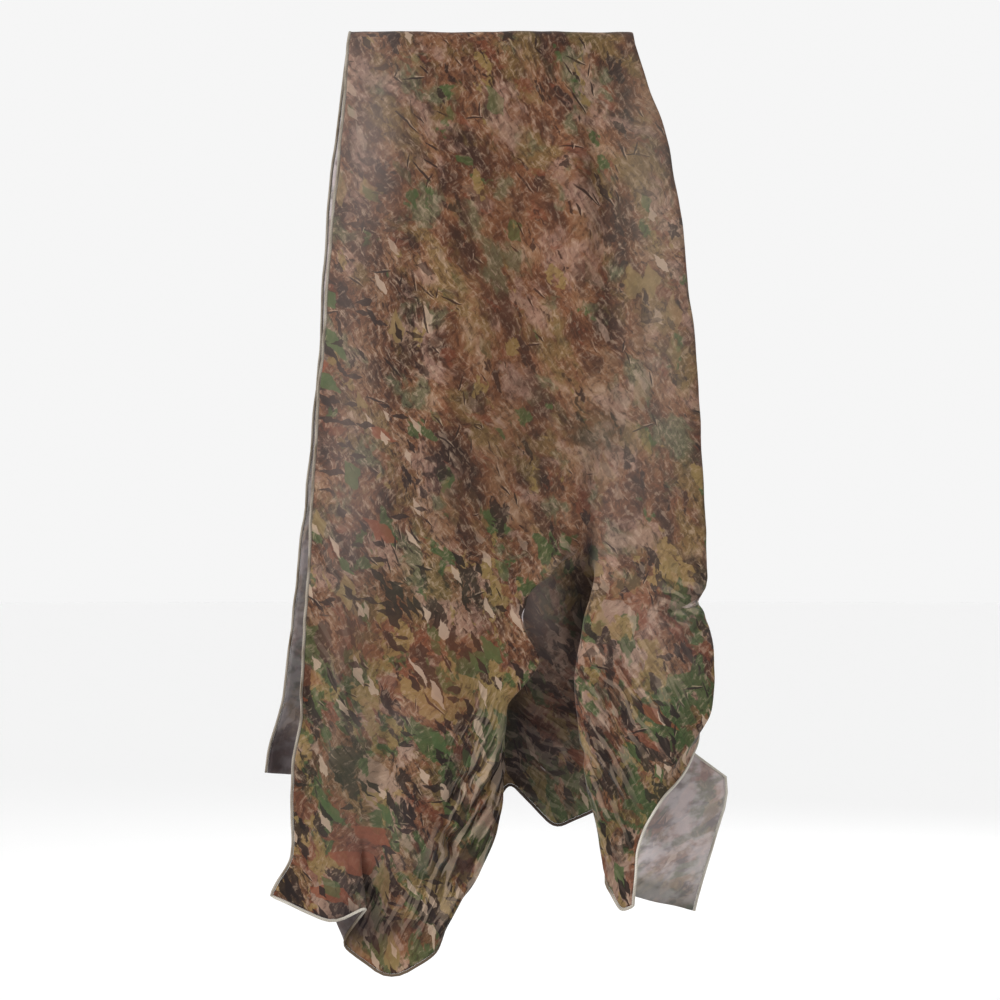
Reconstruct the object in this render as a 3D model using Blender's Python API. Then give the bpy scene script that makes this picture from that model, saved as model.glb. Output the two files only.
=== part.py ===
"""A camouflage net hung by its middle over a rail: one cut panel of fine printed mesh
and the thread edging sewn round three of its sides.

Metres, +Z up. X runs along the rail, Y goes from the front of the net to its back, and
the origin is the middle of the rail's top, where the top fold rests. The front panel
hangs in front of the rail (-Y) and the back panel behind it (+Y).

The cloth is read along fifteen lengthwise lines: its two selvedges, the two lines of the
small fold in the front hem, the lips and the inner turns of the deep fold, and so on.
Each table row below tells where such a line lies at one drop under the top fold. A
crosswise row of the cloth is the chain of those lines, rounded where it bends, and the
rows are joined into one sheet that is then given its thickness.
"""

import math
from typing import NamedTuple

import bmesh
import bpy
import numpy as np

# Cloth and edging
CLOTH_THICKNESS = 0.0016
EDGING_WIDTH = 0.005
EDGING_THICKNESS = 0.0028
EDGING_SIDES = 6
SEAM_GAP = 0.0009  # between the cloth's cut edge and the edging

# Top fold
LAYER_PITCH = 0.006  # from one folded layer to the next under it
RAIL_RADIUS = 0.015
FOLD_RADIUS = RAIL_RADIUS + 1.5 * LAYER_PITCH  # middle of the outer layer
CREST_HEIGHT = FOLD_RADIUS - RAIL_RADIUS  # of that layer over the origin
CREST_TAPER = 0.015  # by which share the cloth narrows over the top
HIDDEN_DEPTH = 0.012  # from here inwards a layer no longer follows the soft folds
UNFOLDED_SHARE = 0.3  # where the hidden turn lies once the cloth has opened out
FOLDED_OVER = 0.040  # of cloth behind the turn, past which its fold lies flat

# Rows of the surface
FRONT_ROWS = 29
CREST_ROWS = 6
BACK_ROWS = 16
FRONT_LENGTH = 1.50  # of the rows that have no hem of their own drop
BACK_LENGTH = 1.43
LEVEL_SHARE = 0.5  # of a panel's rows lie level; below, they bend to meet the hem
HEM_BEND = 1.3
BEND_SHARE = 0.45  # of the cloth between two lines, at most, goes into a bend

# Deep fold of the front panel
DEEP_FOLD_START = 0.845  # drop where its lips begin to part
DEEP_FOLD_PARTS = 0.897  # and where its hidden turns leave them
DEEP_FOLD_FULL = 0.975
DEEP_FOLD_DEPTH = 0.084
INNER_TURN_REACH = 0.042  # from the right lip to the turn that it hides
LEFT_TURN_X = -0.022  # of the turn behind the left lobe
INNER_FOLD_X = 0.112  # middle of the cloth that shows between the lips

# Small fold in the front hem, left
HEM_FOLD_NEARS = 1.00  # drop where its lines leave the plain cloth's
HEM_FOLD_START = 1.405
HEM_FOLD_FULL = 1.500
HEM_FOLD_DEPTH = 0.036
TIP_DEPTH = 0.024  # of the cloth to the right of that fold
LIP_DEPTH = 0.012  # and of the deep fold's left lip


class Line(NamedTuple):
    """A lengthwise line of the cloth."""

    name: str
    share: float  # of the way across plain cloth, from the selvedge to the right turn
    low_share: float  # the same at the back hem
    front_hem: float  # drop of the front hem on this line
    back_hem: float
    rounding: float  # cloth that its bend takes on each side
    bend_columns: int  # of the surface, in the bend
    onward_columns: int  # from this bend to the next


LINES = (
    Line("left selvedge", 0.00, 0.00, 1.488, 1.286, 0.000, 0, 4),
    Line("hem dip", 0.22, 0.22, 1.532, 1.300, 0.020, 1, 1),
    Line("hem fold, outer", 0.31, 0.31, 1.500, 1.300, 0.022, 3, 1),
    Line("hem fold, inner", 0.36, 0.36, 1.572, 1.298, 0.026, 3, 1),
    Line("left tip", 0.46, 0.46, 1.632, 1.300, 0.030, 2, 3),
    Line("left lip", 0.62, 0.64, 1.588, 1.300, 0.030, 4, 1),
    Line("behind left lip", 0.635, 0.665, 1.520, 1.300, 0.030, 2, 1),
    Line("left inner turn", 0.65, 0.69, 1.400, 1.300, 0.030, 3, 1),
    Line("inner rise", 0.665, 0.72, 1.290, 1.300, 0.030, 2, 1),
    Line("inner fold", 0.68, 0.74, 1.378, 1.300, 0.020, 2, 1),
    Line("right inner turn", 0.71, 0.79, 1.322, 1.300, 0.022, 3, 1),
    Line("right lip", 0.74, 0.85, 1.447, 1.305, 0.030, 3, 4),
    Line("right turn", 1.00, 1.00, 1.500, 1.503, 0.010, 2, 1),
    Line("hidden turn", 1.00, 1.00, 1.508, 1.510, 0.010, 2, 3),
    Line("right selvedge", 1.00, 1.00, 1.502, 1.527, 0.000, 0, 0),
)


class FrontSection(NamedTuple):
    """One level of the front panel: its left selvedge, the deep fold's lips, the turn
    at its right and the right selvedge, which is folded behind it down to the corner."""

    drop: float
    left: float
    left_lip: float
    right_lip: float
    turn: float
    selvedge: float
    selvedge_depth: float


FRONT_SECTIONS = (
    FrontSection(0.00, -0.241, 0.040, 0.125, 0.243, -0.150, 0.006),
    FrontSection(0.09, -0.247, 0.052, 0.135, 0.271, -0.120, 0.009),
    FrontSection(0.20, -0.256, 0.066, 0.148, 0.306, -0.070, 0.014),
    FrontSection(0.34, -0.269, 0.082, 0.162, 0.332, 0.000, 0.018),
    FrontSection(0.55, -0.285, 0.100, 0.180, 0.353, 0.110, 0.018),
    FrontSection(0.76, -0.299, 0.118, 0.200, 0.365, 0.215, 0.018),
    FrontSection(0.88, -0.306, 0.126, 0.202, 0.373, 0.262, 0.018),
    FrontSection(0.94, -0.309, 0.106, 0.182, 0.373, 0.280, 0.018),
    FrontSection(0.985, -0.311, 0.074, 0.164, 0.362, 0.290, 0.018),
    FrontSection(1.03, -0.314, 0.070, 0.151, 0.374, 0.300, 0.024),
    FrontSection(1.09, -0.317, 0.094, 0.141, 0.386, 0.332, 0.032),
    FrontSection(1.13, -0.319, 0.070, 0.137, 0.388, 0.348, 0.036),
    FrontSection(1.17, -0.321, 0.038, 0.138, 0.382, 0.362, 0.042),
    FrontSection(1.22, -0.327, 0.031, 0.144, 0.352, 0.360, 0.040),
    FrontSection(1.265, -0.333, 0.031, 0.152, 0.312, 0.338, 0.022),
    FrontSection(1.33, -0.336, 0.029, 0.163, 0.266, 0.291, 0.006),
    FrontSection(1.38, -0.335, 0.020, 0.176, 0.240, 0.259, 0.001),
    FrontSection(1.42, -0.337, 0.006, 0.182, 0.222, 0.248, 0.000),
    FrontSection(1.47, -0.362, -0.020, 0.198, 0.219, 0.244, 0.000),
    FrontSection(1.51, -0.382, -0.050, 0.206, 0.219, 0.242, 0.000),
    FrontSection(1.56, -0.400, -0.078, 0.210, 0.220, 0.241, 0.000),
    FrontSection(1.63, -0.410, -0.112, 0.212, 0.222, 0.241, 0.000),
)


class InnerLine(NamedTuple):
    """One line of the cloth that lies sunk in the deep fold."""

    name: str
    across: float  # where it lies between the lips while they are still closed
    part: str  # of the fold in which it lies once they have parted
    along: float  # that part
    depth: float  # as a share of the fold's


INNER_LINES = (
    InnerLine("behind left lip", 0.20, "left wall", 0.4, 0.55),
    InnerLine("left inner turn", 0.35, "left wall", 1.0, 1.00),
    InnerLine("inner rise", 0.45, "middle", 0.4, 1.00),
    InnerLine("inner fold", 0.55, "middle", 1.0, 1.00),
    InnerLine("right inner turn", 0.70, "right wall", 1.0, 1.00),
)


class HemFold(NamedTuple):
    """One level of the small fold in the front hem."""

    drop: float
    dip: float  # x of the lowest place left of the fold
    outer: float  # of the turn that faces the front
    inner: float  # of the turn behind it
    tip: float


HEM_FOLD = (
    HemFold(1.40, -0.258, -0.216, -0.192, -0.146),
    HemFold(1.45, -0.262, -0.211, -0.222, -0.146),
    HemFold(1.53, -0.268, -0.208, -0.276, -0.152),
    HemFold(1.57, -0.268, -0.208, -0.262, -0.160),
    HemFold(1.63, -0.268, -0.208, -0.230, -0.168),
)


class BackSection(NamedTuple):
    """One level of the back panel, whose right selvedge swings out near the hem."""

    drop: float
    left: float
    turn: float
    selvedge: float
    selvedge_depth: float


BACK_SECTIONS = (
    BackSection(0.00, -0.241, 0.247, -0.150, 0.006),
    BackSection(0.13, -0.259, 0.276, -0.110, 0.010),
    BackSection(0.30, -0.278, 0.316, -0.030, 0.018),
    BackSection(0.65, -0.302, 0.338, 0.130, 0.018),
    BackSection(0.92, -0.330, 0.350, 0.235, 0.018),
    BackSection(1.05, -0.346, 0.352, 0.290, 0.026),
    BackSection(1.12, -0.354, 0.346, 0.318, 0.034),
    BackSection(1.17, -0.362, 0.334, 0.330, 0.036),
    BackSection(1.24, -0.380, 0.312, 0.340, 0.020),
    BackSection(1.302, -0.390, 0.300, 0.411, 0.000),
    BackSection(1.40, -0.392, 0.272, 0.388, 0.000),
    BackSection(1.53, -0.394, 0.240, 0.353, 0.000),
)


class Lean(NamedTuple):
    """How far each panel stands out from the top fold's side at one drop."""

    drop: float
    front: float
    back: float


LEANS = (
    Lean(0.00, 0.000, 0.000),
    Lean(0.30, 0.010, 0.008),
    Lean(0.70, 0.022, 0.012),
    Lean(1.00, 0.040, 0.016),
    Lean(1.30, 0.052, 0.020),
    Lean(1.63, 0.050, 0.022),
)


class Ridge(NamedTuple):
    """A soft lengthwise fold; a trough has a negative height."""

    top_x: float  # of its crest at the top of the panel
    low_x: float  # at the lowest hem
    half_width: float
    height: float
    start: float  # drop where it begins
    full: float
    end: float  # drop where it has faded again


LOWEST_DROP = 1.63
ON = 9.0  # end of a fold that runs on past the hem
FRONT_RIDGES = (
    Ridge(-0.200, -0.270, 0.060, 0.010, 0.03, 0.50, ON),
    Ridge(-0.110, -0.200, 0.050, -0.008, 0.05, 0.40, ON),
    Ridge(-0.030, -0.110, 0.060, 0.012, 0.03, 0.60, ON),
    Ridge(0.070, 0.060, 0.045, -0.008, 0.05, 0.30, ON),
    Ridge(0.130, 0.200, 0.035, 0.009, 0.03, 0.20, ON),
    Ridge(0.178, 0.265, 0.028, -0.008, 0.04, 0.16, 0.95),
    Ridge(0.205, 0.345, 0.030, 0.009, 0.04, 0.20, 1.15),
    Ridge(0.175, 0.185, 0.022, -0.016, 0.62, 0.88, 1.02),
    Ridge(0.300, 0.300, 0.055, 0.020, 0.98, 1.13, 1.40),
    Ridge(0.420, 0.350, 0.030, -0.010, 0.90, 0.985, 1.06),
    Ridge(-0.060, -0.150, 0.080, 0.018, 1.05, 1.35, ON),
    Ridge(0.060, 0.020, 0.030, -0.012, 1.15, 1.31, 1.50),
)
BACK_RIDGES = (
    Ridge(-0.190, -0.330, 0.045, 0.014, 0.05, 0.60, ON),
    Ridge(-0.090, -0.210, 0.050, -0.012, 0.05, 0.50, ON),
    Ridge(0.000, -0.080, 0.055, 0.018, 0.05, 0.60, ON),
    Ridge(0.090, 0.060, 0.050, -0.010, 0.05, 0.50, ON),
    Ridge(0.180, 0.200, 0.050, 0.014, 0.05, 0.50, ON),
    Ridge(-0.240, -0.392, 0.024, 0.016, 1.16, 1.27, ON),
)

# Colours and roughness
PRINT_BROWN = (0.155, 0.105, 0.070)
EDGING_WHITE = (0.62, 0.58, 0.50)
CLOTH_ROUGHNESS = 0.75
EDGING_ROUGHNESS = 0.85


def column(table, field):
    """One named column of a table as an array."""
    return np.array([getattr(row, field) for row in table])


def read(table, field, drop):
    """A table's column at any drop: a smooth curve that never overshoots its rows."""
    drops, values = column(table, "drop"), column(table, field)
    steps = np.diff(drops)
    slopes = np.diff(values) / steps
    tangents = np.concatenate([slopes[:1], np.zeros(len(slopes) - 1), slopes[-1:]])
    for i in range(1, len(slopes)):
        if slopes[i - 1] * slopes[i] > 0:
            tangents[i] = 2 * slopes[i - 1] * slopes[i] / (slopes[i - 1] + slopes[i])
    drop = np.clip(drop, drops[0], drops[-1])
    i = np.clip(np.searchsorted(drops, drop) - 1, 0, len(steps) - 1)
    t = (drop - drops[i]) / steps[i]
    ease = t * t * (3 - 2 * t)
    lift = steps[i] * t * (1 - t) * ((1 - t) * tangents[i] - t * tangents[i + 1])
    return values[i] * (1 - ease) + values[i + 1] * ease + lift


def rise(value, start, full):
    """0 before the start, 1 past the full value, and a smooth step between."""
    t = np.clip((value - start) / (full - start), 0, 1)
    return t * t * (3 - 2 * t)


def mix(first, second, amount):
    """The value that lies this share of the way from the first to the second."""
    return first * (1 - amount) + second * amount


def relief(ridges, x, drop):
    """How far the soft folds lift the cloth outwards at a place on a panel."""
    lift = 0
    for ridge in ridges:
        centre = mix(ridge.top_x, ridge.low_x, drop / LOWEST_DROP)
        amount = rise(drop, ridge.start, ridge.full)
        amount = amount * (1 - rise(drop, ridge.full, ridge.end))
        lift = lift + ridge.height * amount * np.exp(-(((x - centre) / ridge.half_width) ** 2))
    return lift


def line_drops(hem, length, fraction):
    """The drop of one row on each line: level at first, bending to meet the hem."""
    bend = max(0, fraction - LEVEL_SHARE) / (1 - LEVEL_SHARE)
    level = mix(FOLD_RADIUS, length, fraction)
    return level + (column(LINES, hem) - length) * bend**HEM_BEND


def plain_lines(left, turn, selvedge, selvedge_depth, drop, share):
    """Each line's x and depth on cloth that has no fold but the one at its right."""
    x = mix(left, turn, share)
    depth = np.zeros(len(LINES))
    x[-1], depth[-1] = selvedge[-1], selvedge_depth[-1]
    overlap = turn[-2] - selvedge[-2] - selvedge_depth[-2]
    folded = rise(overlap, 0, FOLDED_OVER)
    x[-2] = mix(mix(turn[-2], selvedge[-2], UNFOLDED_SHARE), turn[-2], folded)
    depth[-2] = selvedge_depth[-2] * mix(UNFOLDED_SHARE, 1, folded)
    return np.stack([x, depth, drop], axis=1)


def line_index(name):
    """Where a line stands in the table of lines."""
    return [line.name for line in LINES].index(name)


def fold_hem(lines, drop):
    """Lays the small fold into the front hem's lines."""
    nears = rise(drop, HEM_FOLD_NEARS, HEM_FOLD_START)
    folded = rise(drop, HEM_FOLD_START, HEM_FOLD_FULL)
    for name, field, depth in (
        ("hem dip", "dip", 0),
        ("hem fold, outer", "outer", 0),
        ("hem fold, inner", "inner", HEM_FOLD_DEPTH),
        ("left tip", "tip", TIP_DEPTH),
        ("left lip", None, LIP_DEPTH),
    ):
        i = line_index(name)
        lines[i, 1] = depth * folded[i]
        if field:
            lines[i, 0] = mix(lines[i, 0], read(HEM_FOLD, field, drop[i]), nears[i])


def fold_deep(lines, drop, left_lip, right_lip):
    """Sets the deep fold's lines: its two lips and the cloth that is sunk behind them."""
    sunk = rise(drop, DEEP_FOLD_START, DEEP_FOLD_FULL)
    parted = rise(drop, DEEP_FOLD_PARTS, DEEP_FOLD_FULL)
    left, right = line_index("left lip"), line_index("right lip")
    right_turn_x = right_lip[right] + INNER_TURN_REACH
    lines[left, 0], lines[right, 0] = left_lip[left], right_lip[right]
    for fold in INNER_LINES:
        i = line_index(fold.name)
        together = mix(left_lip[i], right_lip[i], fold.across)
        start, end = {
            "left wall": (left_lip[left], LEFT_TURN_X),
            "middle": (LEFT_TURN_X, INNER_FOLD_X),
            "right wall": (right_lip[right], right_turn_x),
        }[fold.part]
        lines[i, 0] = mix(together, mix(start, end, fold.along), parted[i])
        lines[i, 1] = fold.depth * DEEP_FOLD_DEPTH * sunk[i]


def front_lines(fraction):
    """Each line's x, depth behind the face and drop, this far down the front panel."""
    drop = line_drops("front_hem", FRONT_LENGTH, fraction)
    left, left_lip, right_lip, turn, selvedge, selvedge_depth = (
        read(FRONT_SECTIONS, field, drop) for field in FrontSection._fields[1:]
    )
    share = column(LINES, "share")
    lines = plain_lines(left, turn, selvedge, selvedge_depth, drop, share)
    lip = line_index("left lip")
    lines[:lip, 0] = mix(left, left_lip, share / share[lip])[:lip]
    fold_hem(lines, drop)
    fold_deep(lines, drop, left_lip, right_lip)
    return lines


def back_lines(fraction):
    """The same for the back panel."""
    drop = line_drops("back_hem", BACK_LENGTH, fraction)
    left, turn, selvedge, selvedge_depth = (
        read(BACK_SECTIONS, field, drop) for field in BackSection._fields[1:]
    )
    share = mix(column(LINES, "share"), column(LINES, "low_share"), fraction)
    return plain_lines(left, turn, selvedge, selvedge_depth, drop, share)


def rounded(points):
    """The chain of lines as a row of surface points, each bend rounded by a curve."""
    row = [points[0]]
    leave = points[0]
    for i in range(1, len(points)):
        arrive, after = points[i], points[i]
        if i < len(points) - 1:
            before_run = points[i - 1] - points[i]
            after_run = points[i + 1] - points[i]
            lengths = np.linalg.norm(before_run), np.linalg.norm(after_run)
            cuts = [min(LINES[i].rounding, BEND_SHARE * length) for length in lengths]
            arrive = points[i] + before_run * cuts[0] / lengths[0]
            after = points[i] + after_run * cuts[1] / lengths[1]
        for t in np.linspace(0, 1, LINES[i - 1].onward_columns + 1)[1:]:
            row.append(mix(leave, arrive, t))
        for t in np.linspace(0, 1, LINES[i].bend_columns + 1)[1:]:
            row.append((1 - t) ** 2 * arrive + 2 * t * (1 - t) * points[i] + t * t * after)
        leave = after
    return np.array(row)


def panel_row(lines, side):
    """The surface points of one row of a hanging panel; side is -1 in front, 1 behind."""
    x, depth, drop = rounded(lines).T
    ridges, field = (FRONT_RIDGES, "front") if side < 0 else (BACK_RIDGES, "back")
    lift = relief(ridges, x, drop) * (1 - rise(depth, 0, HIDDEN_DEPTH))
    out = FOLD_RADIUS - depth + read(LEANS, field, drop) + lift
    return np.stack([x, side * out, CREST_HEIGHT - drop], axis=1)


def crest_row(turned):
    """The surface points of one row over the top; turned goes from 0 to 1 over it."""
    x, depth, _ = rounded(mix(front_lines(0), back_lines(0), turned)).T
    radius = FOLD_RADIUS - depth
    x = x * (1 - CREST_TAPER * math.sin(math.pi * turned))
    height = radius * math.sin(math.pi * turned) - RAIL_RADIUS
    return np.stack([x, -radius * math.cos(math.pi * turned), height], axis=1)


def surface():
    """The middle of the cloth as rows of points, from the front hem to the back hem."""
    rows = [panel_row(front_lines(1 - i / FRONT_ROWS), -1) for i in range(FRONT_ROWS + 1)]
    rows += [crest_row(i / CREST_ROWS) for i in range(1, CREST_ROWS)]
    rows += [panel_row(back_lines(i / BACK_ROWS), 1) for i in range(BACK_ROWS + 1)]
    return np.array(rows)


def material(name, colour, roughness):
    """A plain surface of this colour."""
    made = bpy.data.materials.new(name)
    made.use_nodes = True
    shader = made.node_tree.nodes["Principled BSDF"]
    shader.inputs["Base Color"].default_value = (*colour, 1)
    shader.inputs["Roughness"].default_value = roughness
    shader.inputs["Metallic"].default_value = 0
    return made


def add_object(name, mesh, finish):
    """Puts a mesh into the scene as a smooth object of this finish."""
    mesh.materials.append(finish)
    mesh.shade_smooth()
    made = bpy.data.objects.new(name, mesh)
    bpy.context.collection.objects.link(made)
    return made


def unit(vectors):
    """The vectors at length 1."""
    return vectors / np.linalg.norm(vectors, axis=-1, keepdims=True)


def net(points):
    """The printed mesh: one sheet over all rows, thickened to both sides."""
    rows, columns = points.shape[:2]
    build = bmesh.new()
    verts = [[build.verts.new(point) for point in row] for row in points]
    for r in range(rows - 1):
        for c in range(columns - 1):
            build.faces.new((verts[r][c], verts[r][c + 1], verts[r + 1][c + 1], verts[r + 1][c]))
    mesh = bpy.data.meshes.new("net")
    build.to_mesh(mesh)
    build.free()
    made = add_object("net", mesh, material("printed mesh", PRINT_BROWN, CLOTH_ROUGHNESS))
    thickness = made.modifiers.new("thickness", "SOLIDIFY")
    thickness.thickness = CLOTH_THICKNESS
    thickness.offset = 0
    thickness.use_even_offset = False


def edge_path(points):
    """Along the edged sides, from the back hem down the left selvedge, along the front
    hem and up the right selvedge: the edge's points and the way out of the cloth there."""
    across = unit(np.gradient(points, axis=1))
    along = unit(np.gradient(points, axis=0))
    left, left_out = points[::-1, 0], -across[::-1, 0]
    hem, hem_out = points[0, 1:-1], -along[0, 1:-1]
    right, right_out = points[:, -1], across[:, -1].copy()
    left_out[-1] = left_out[-1] - along[0, 0]
    right_out[0] = right_out[0] - along[0, -1]
    return np.concatenate([left, hem, right]), np.concatenate([left_out, hem_out, right_out])


def square_to(tangent, vectors):
    """The vectors turned square to the path, at length 1."""
    return unit(vectors - (vectors * tangent).sum(axis=1, keepdims=True) * tangent)


def edging(points):
    """The thread edging: a flat six-sided cord that follows the cloth's edge."""
    places, outward = edge_path(points)
    tangent = unit(np.gradient(places, axis=0))
    outward = square_to(tangent, outward)
    ends = np.pad(outward, ((1, 1), (0, 0)), mode="edge")
    outward = square_to(tangent, ends[:-2] + outward + ends[2:])
    normal = unit(np.cross(tangent, outward))
    half_width, half_thickness = EDGING_WIDTH / 2, EDGING_THICKNESS / 2
    build = bmesh.new()
    rings = []
    for place, out, up in zip(places, outward, normal):
        centre = place + out * (SEAM_GAP + half_width)
        ring = []
        for side in range(EDGING_SIDES):
            angle = math.tau * side / EDGING_SIDES
            offset = out * half_width * math.cos(angle) + up * half_thickness * math.sin(angle)
            ring.append(build.verts.new(centre + offset))
        rings.append(ring)
    for first, second in zip(rings, rings[1:]):
        for side in range(EDGING_SIDES):
            after = (side + 1) % EDGING_SIDES
            build.faces.new((first[side], first[after], second[after], second[side]))
    build.faces.new(rings[0][::-1])
    build.faces.new(rings[-1])
    bmesh.ops.recalc_face_normals(build, faces=build.faces)
    mesh = bpy.data.meshes.new("edging")
    build.to_mesh(mesh)
    build.free()
    add_object("edging", mesh, material("edging thread", EDGING_WHITE, EDGING_ROUGHNESS))


def main():
    for old in list(bpy.data.objects):
        bpy.data.objects.remove(old)
    points = surface()
    net(points)
    edging(points)


main()
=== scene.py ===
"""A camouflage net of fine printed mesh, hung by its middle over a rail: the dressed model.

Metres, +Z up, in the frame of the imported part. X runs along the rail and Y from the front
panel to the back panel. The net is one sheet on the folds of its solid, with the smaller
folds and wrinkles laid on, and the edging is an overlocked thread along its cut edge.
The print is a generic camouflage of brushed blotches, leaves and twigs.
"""

import logging
import math
from dataclasses import dataclass, field
from enum import Enum
from typing import NamedTuple, Sequence

import bmesh
import bpy
import numpy as np
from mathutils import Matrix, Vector, noise


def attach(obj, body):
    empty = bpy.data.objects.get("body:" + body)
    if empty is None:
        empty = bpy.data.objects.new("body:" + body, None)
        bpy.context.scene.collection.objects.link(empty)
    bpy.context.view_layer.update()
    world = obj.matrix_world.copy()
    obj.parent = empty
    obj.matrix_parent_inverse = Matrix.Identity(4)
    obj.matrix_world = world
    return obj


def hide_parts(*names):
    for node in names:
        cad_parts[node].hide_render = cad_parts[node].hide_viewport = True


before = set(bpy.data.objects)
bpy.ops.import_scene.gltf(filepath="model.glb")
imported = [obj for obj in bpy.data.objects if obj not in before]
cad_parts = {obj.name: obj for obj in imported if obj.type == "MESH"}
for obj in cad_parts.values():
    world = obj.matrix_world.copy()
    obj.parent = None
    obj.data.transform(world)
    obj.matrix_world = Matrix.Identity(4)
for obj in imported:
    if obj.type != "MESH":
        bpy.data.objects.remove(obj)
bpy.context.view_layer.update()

LOG = logging.getLogger("camouflage_net")

Socket = bpy.types.NodeSocket
Dye = tuple[float, float, float, float]

# Top fold and layers, as in the solid
LAYER_PITCH = 0.006
RAIL_RADIUS = 0.015
FOLD_RADIUS = RAIL_RADIUS + 1.5 * LAYER_PITCH
CREST_HEIGHT = FOLD_RADIUS - RAIL_RADIUS
CREST_TAPER = 0.015
HIDDEN_DEPTH = 0.012
UNFOLDED_SHARE = 0.3
FOLDED_OVER = 0.040

# Panels
FRONT_LENGTH = 1.50
BACK_LENGTH = 1.43
LEVEL_SHARE = 0.5
HEM_BEND = 1.3
BEND_SHARE = 0.45
LOWEST_DROP = 1.63

# Deep fold
DEEP_FOLD_START = 0.845
DEEP_FOLD_PARTS = 0.897
DEEP_FOLD_FULL = 0.975
DEEP_FOLD_DEPTH = 0.084
SUNK_DEPTHS = (0.45 * DEEP_FOLD_DEPTH, 0.8 * DEEP_FOLD_DEPTH)
INNER_TURN_REACH = 0.042
LEFT_TURN_X = -0.022
INNER_FOLD_X = 0.112

# Small fold in the front hem
HEM_FOLD_NEARS = 1.00
HEM_FOLD_START = 1.405
HEM_FOLD_FULL = 1.500
HEM_FOLD_DEPTH = 0.036
TIP_DEPTH = 0.024
LIP_DEPTH = 0.012

# Creases laid on: shares of their length where they rise and fade
CREASE_RISE = (-0.1, 0.25)
CREASE_FADE = (0.7, 1.1)
CREASE_TROUGHS = 0.7  # depth of the troughs beside one


def table(kind: type[NamedTuple], *rows: tuple) -> tuple[NamedTuple, ...]:
    """Rows of values as a table of one kind."""
    return tuple(kind(*row) for row in rows)


class Line(NamedTuple):
    """A lengthwise line of the cloth."""

    name: str
    share: float
    low_share: float
    front_hem: float
    back_hem: float
    rounding: float
    bend_columns: int
    onward_columns: int


LINES = table(
    Line,
    ("left selvedge", 0.00, 0.00, 1.488, 1.286, 0.000, 0, 20),
    ("hem dip", 0.22, 0.22, 1.532, 1.300, 0.020, 3, 3),
    ("hem fold, outer", 0.31, 0.31, 1.500, 1.300, 0.022, 6, 3),
    ("hem fold, inner", 0.36, 0.36, 1.572, 1.298, 0.026, 6, 4),
    ("left tip", 0.46, 0.46, 1.632, 1.300, 0.030, 4, 18),
    ("left lip", 0.62, 0.64, 1.588, 1.300, 0.030, 8, 3),
    ("behind left lip", 0.635, 0.665, 1.520, 1.300, 0.030, 4, 3),
    ("left inner turn", 0.65, 0.69, 1.400, 1.300, 0.030, 6, 3),
    ("inner rise", 0.665, 0.72, 1.290, 1.300, 0.030, 5, 4),
    ("inner fold", 0.68, 0.74, 1.378, 1.300, 0.020, 5, 5),
    ("right inner turn", 0.71, 0.79, 1.322, 1.300, 0.022, 5, 4),
    ("right lip", 0.74, 0.85, 1.447, 1.305, 0.030, 7, 19),
    ("right turn", 1.00, 1.00, 1.500, 1.503, 0.010, 4, 2),
    ("hidden turn", 1.00, 1.00, 1.508, 1.510, 0.010, 4, 8),
    ("right selvedge", 1.00, 1.00, 1.502, 1.527, 0.000, 0, 0),
)

# How brown the hem's thread is at each line, with painted shade where it runs into the hem fold
# and the deep fold, and darker still past 1
HEM_STAINS_AND_SHADE = {
    "left selvedge": 0.1,
    "hem fold, outer": 0.1,
    "hem fold, inner": 1.1,
    "left lip": 1.2,
    "left inner turn": 1.5,
    "right inner turn": 1.5,
    "right lip": 0.7,
    "right selvedge": 0.3,
}

# Where the print runs on evenly: first line, the line it is measured from and last line
PRINT_PARTS = (
    ("left selvedge", "hem dip", "hem fold, outer"),
    ("hem fold, inner", "left tip", "left lip"),
    ("left inner turn", "inner fold", "right inner turn"),
    ("right lip", "right lip", "right selvedge"),
)


class FrontSection(NamedTuple):
    """One level of the front panel."""

    drop: float
    left: float
    left_lip: float
    right_lip: float
    turn: float
    selvedge: float
    selvedge_depth: float


FRONT_SECTIONS = table(
    FrontSection,
    (0.00, -0.241, 0.040, 0.125, 0.243, -0.150, 0.006),
    (0.09, -0.247, 0.052, 0.135, 0.271, -0.120, 0.009),
    (0.20, -0.256, 0.066, 0.148, 0.306, -0.070, 0.014),
    (0.34, -0.269, 0.082, 0.162, 0.332, 0.000, 0.018),
    (0.55, -0.285, 0.100, 0.180, 0.353, 0.110, 0.018),
    (0.76, -0.299, 0.118, 0.200, 0.365, 0.215, 0.018),
    (0.88, -0.306, 0.126, 0.202, 0.373, 0.262, 0.018),
    (0.94, -0.309, 0.106, 0.182, 0.373, 0.280, 0.018),
    (0.985, -0.311, 0.074, 0.164, 0.362, 0.290, 0.018),
    (1.03, -0.314, 0.070, 0.151, 0.374, 0.300, 0.024),
    (1.09, -0.317, 0.094, 0.141, 0.386, 0.332, 0.032),
    (1.13, -0.319, 0.070, 0.137, 0.388, 0.348, 0.036),
    (1.17, -0.321, 0.038, 0.138, 0.382, 0.362, 0.042),
    (1.22, -0.327, 0.031, 0.144, 0.352, 0.360, 0.040),
    (1.265, -0.333, 0.031, 0.152, 0.312, 0.338, 0.022),
    (1.33, -0.336, 0.029, 0.163, 0.266, 0.291, 0.006),
    (1.38, -0.335, 0.020, 0.176, 0.240, 0.259, 0.001),
    (1.42, -0.337, 0.006, 0.182, 0.222, 0.248, 0.000),
    (1.47, -0.362, -0.020, 0.198, 0.219, 0.244, 0.000),
    (1.51, -0.382, -0.050, 0.206, 0.219, 0.242, 0.000),
    (1.56, -0.400, -0.078, 0.210, 0.220, 0.241, 0.000),
    (1.63, -0.410, -0.112, 0.212, 0.222, 0.241, 0.000),
)


class InnerLine(NamedTuple):
    """One line of the cloth that lies sunk in the deep fold."""

    name: str
    across: float
    part: str
    along: float
    depth: float


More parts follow.
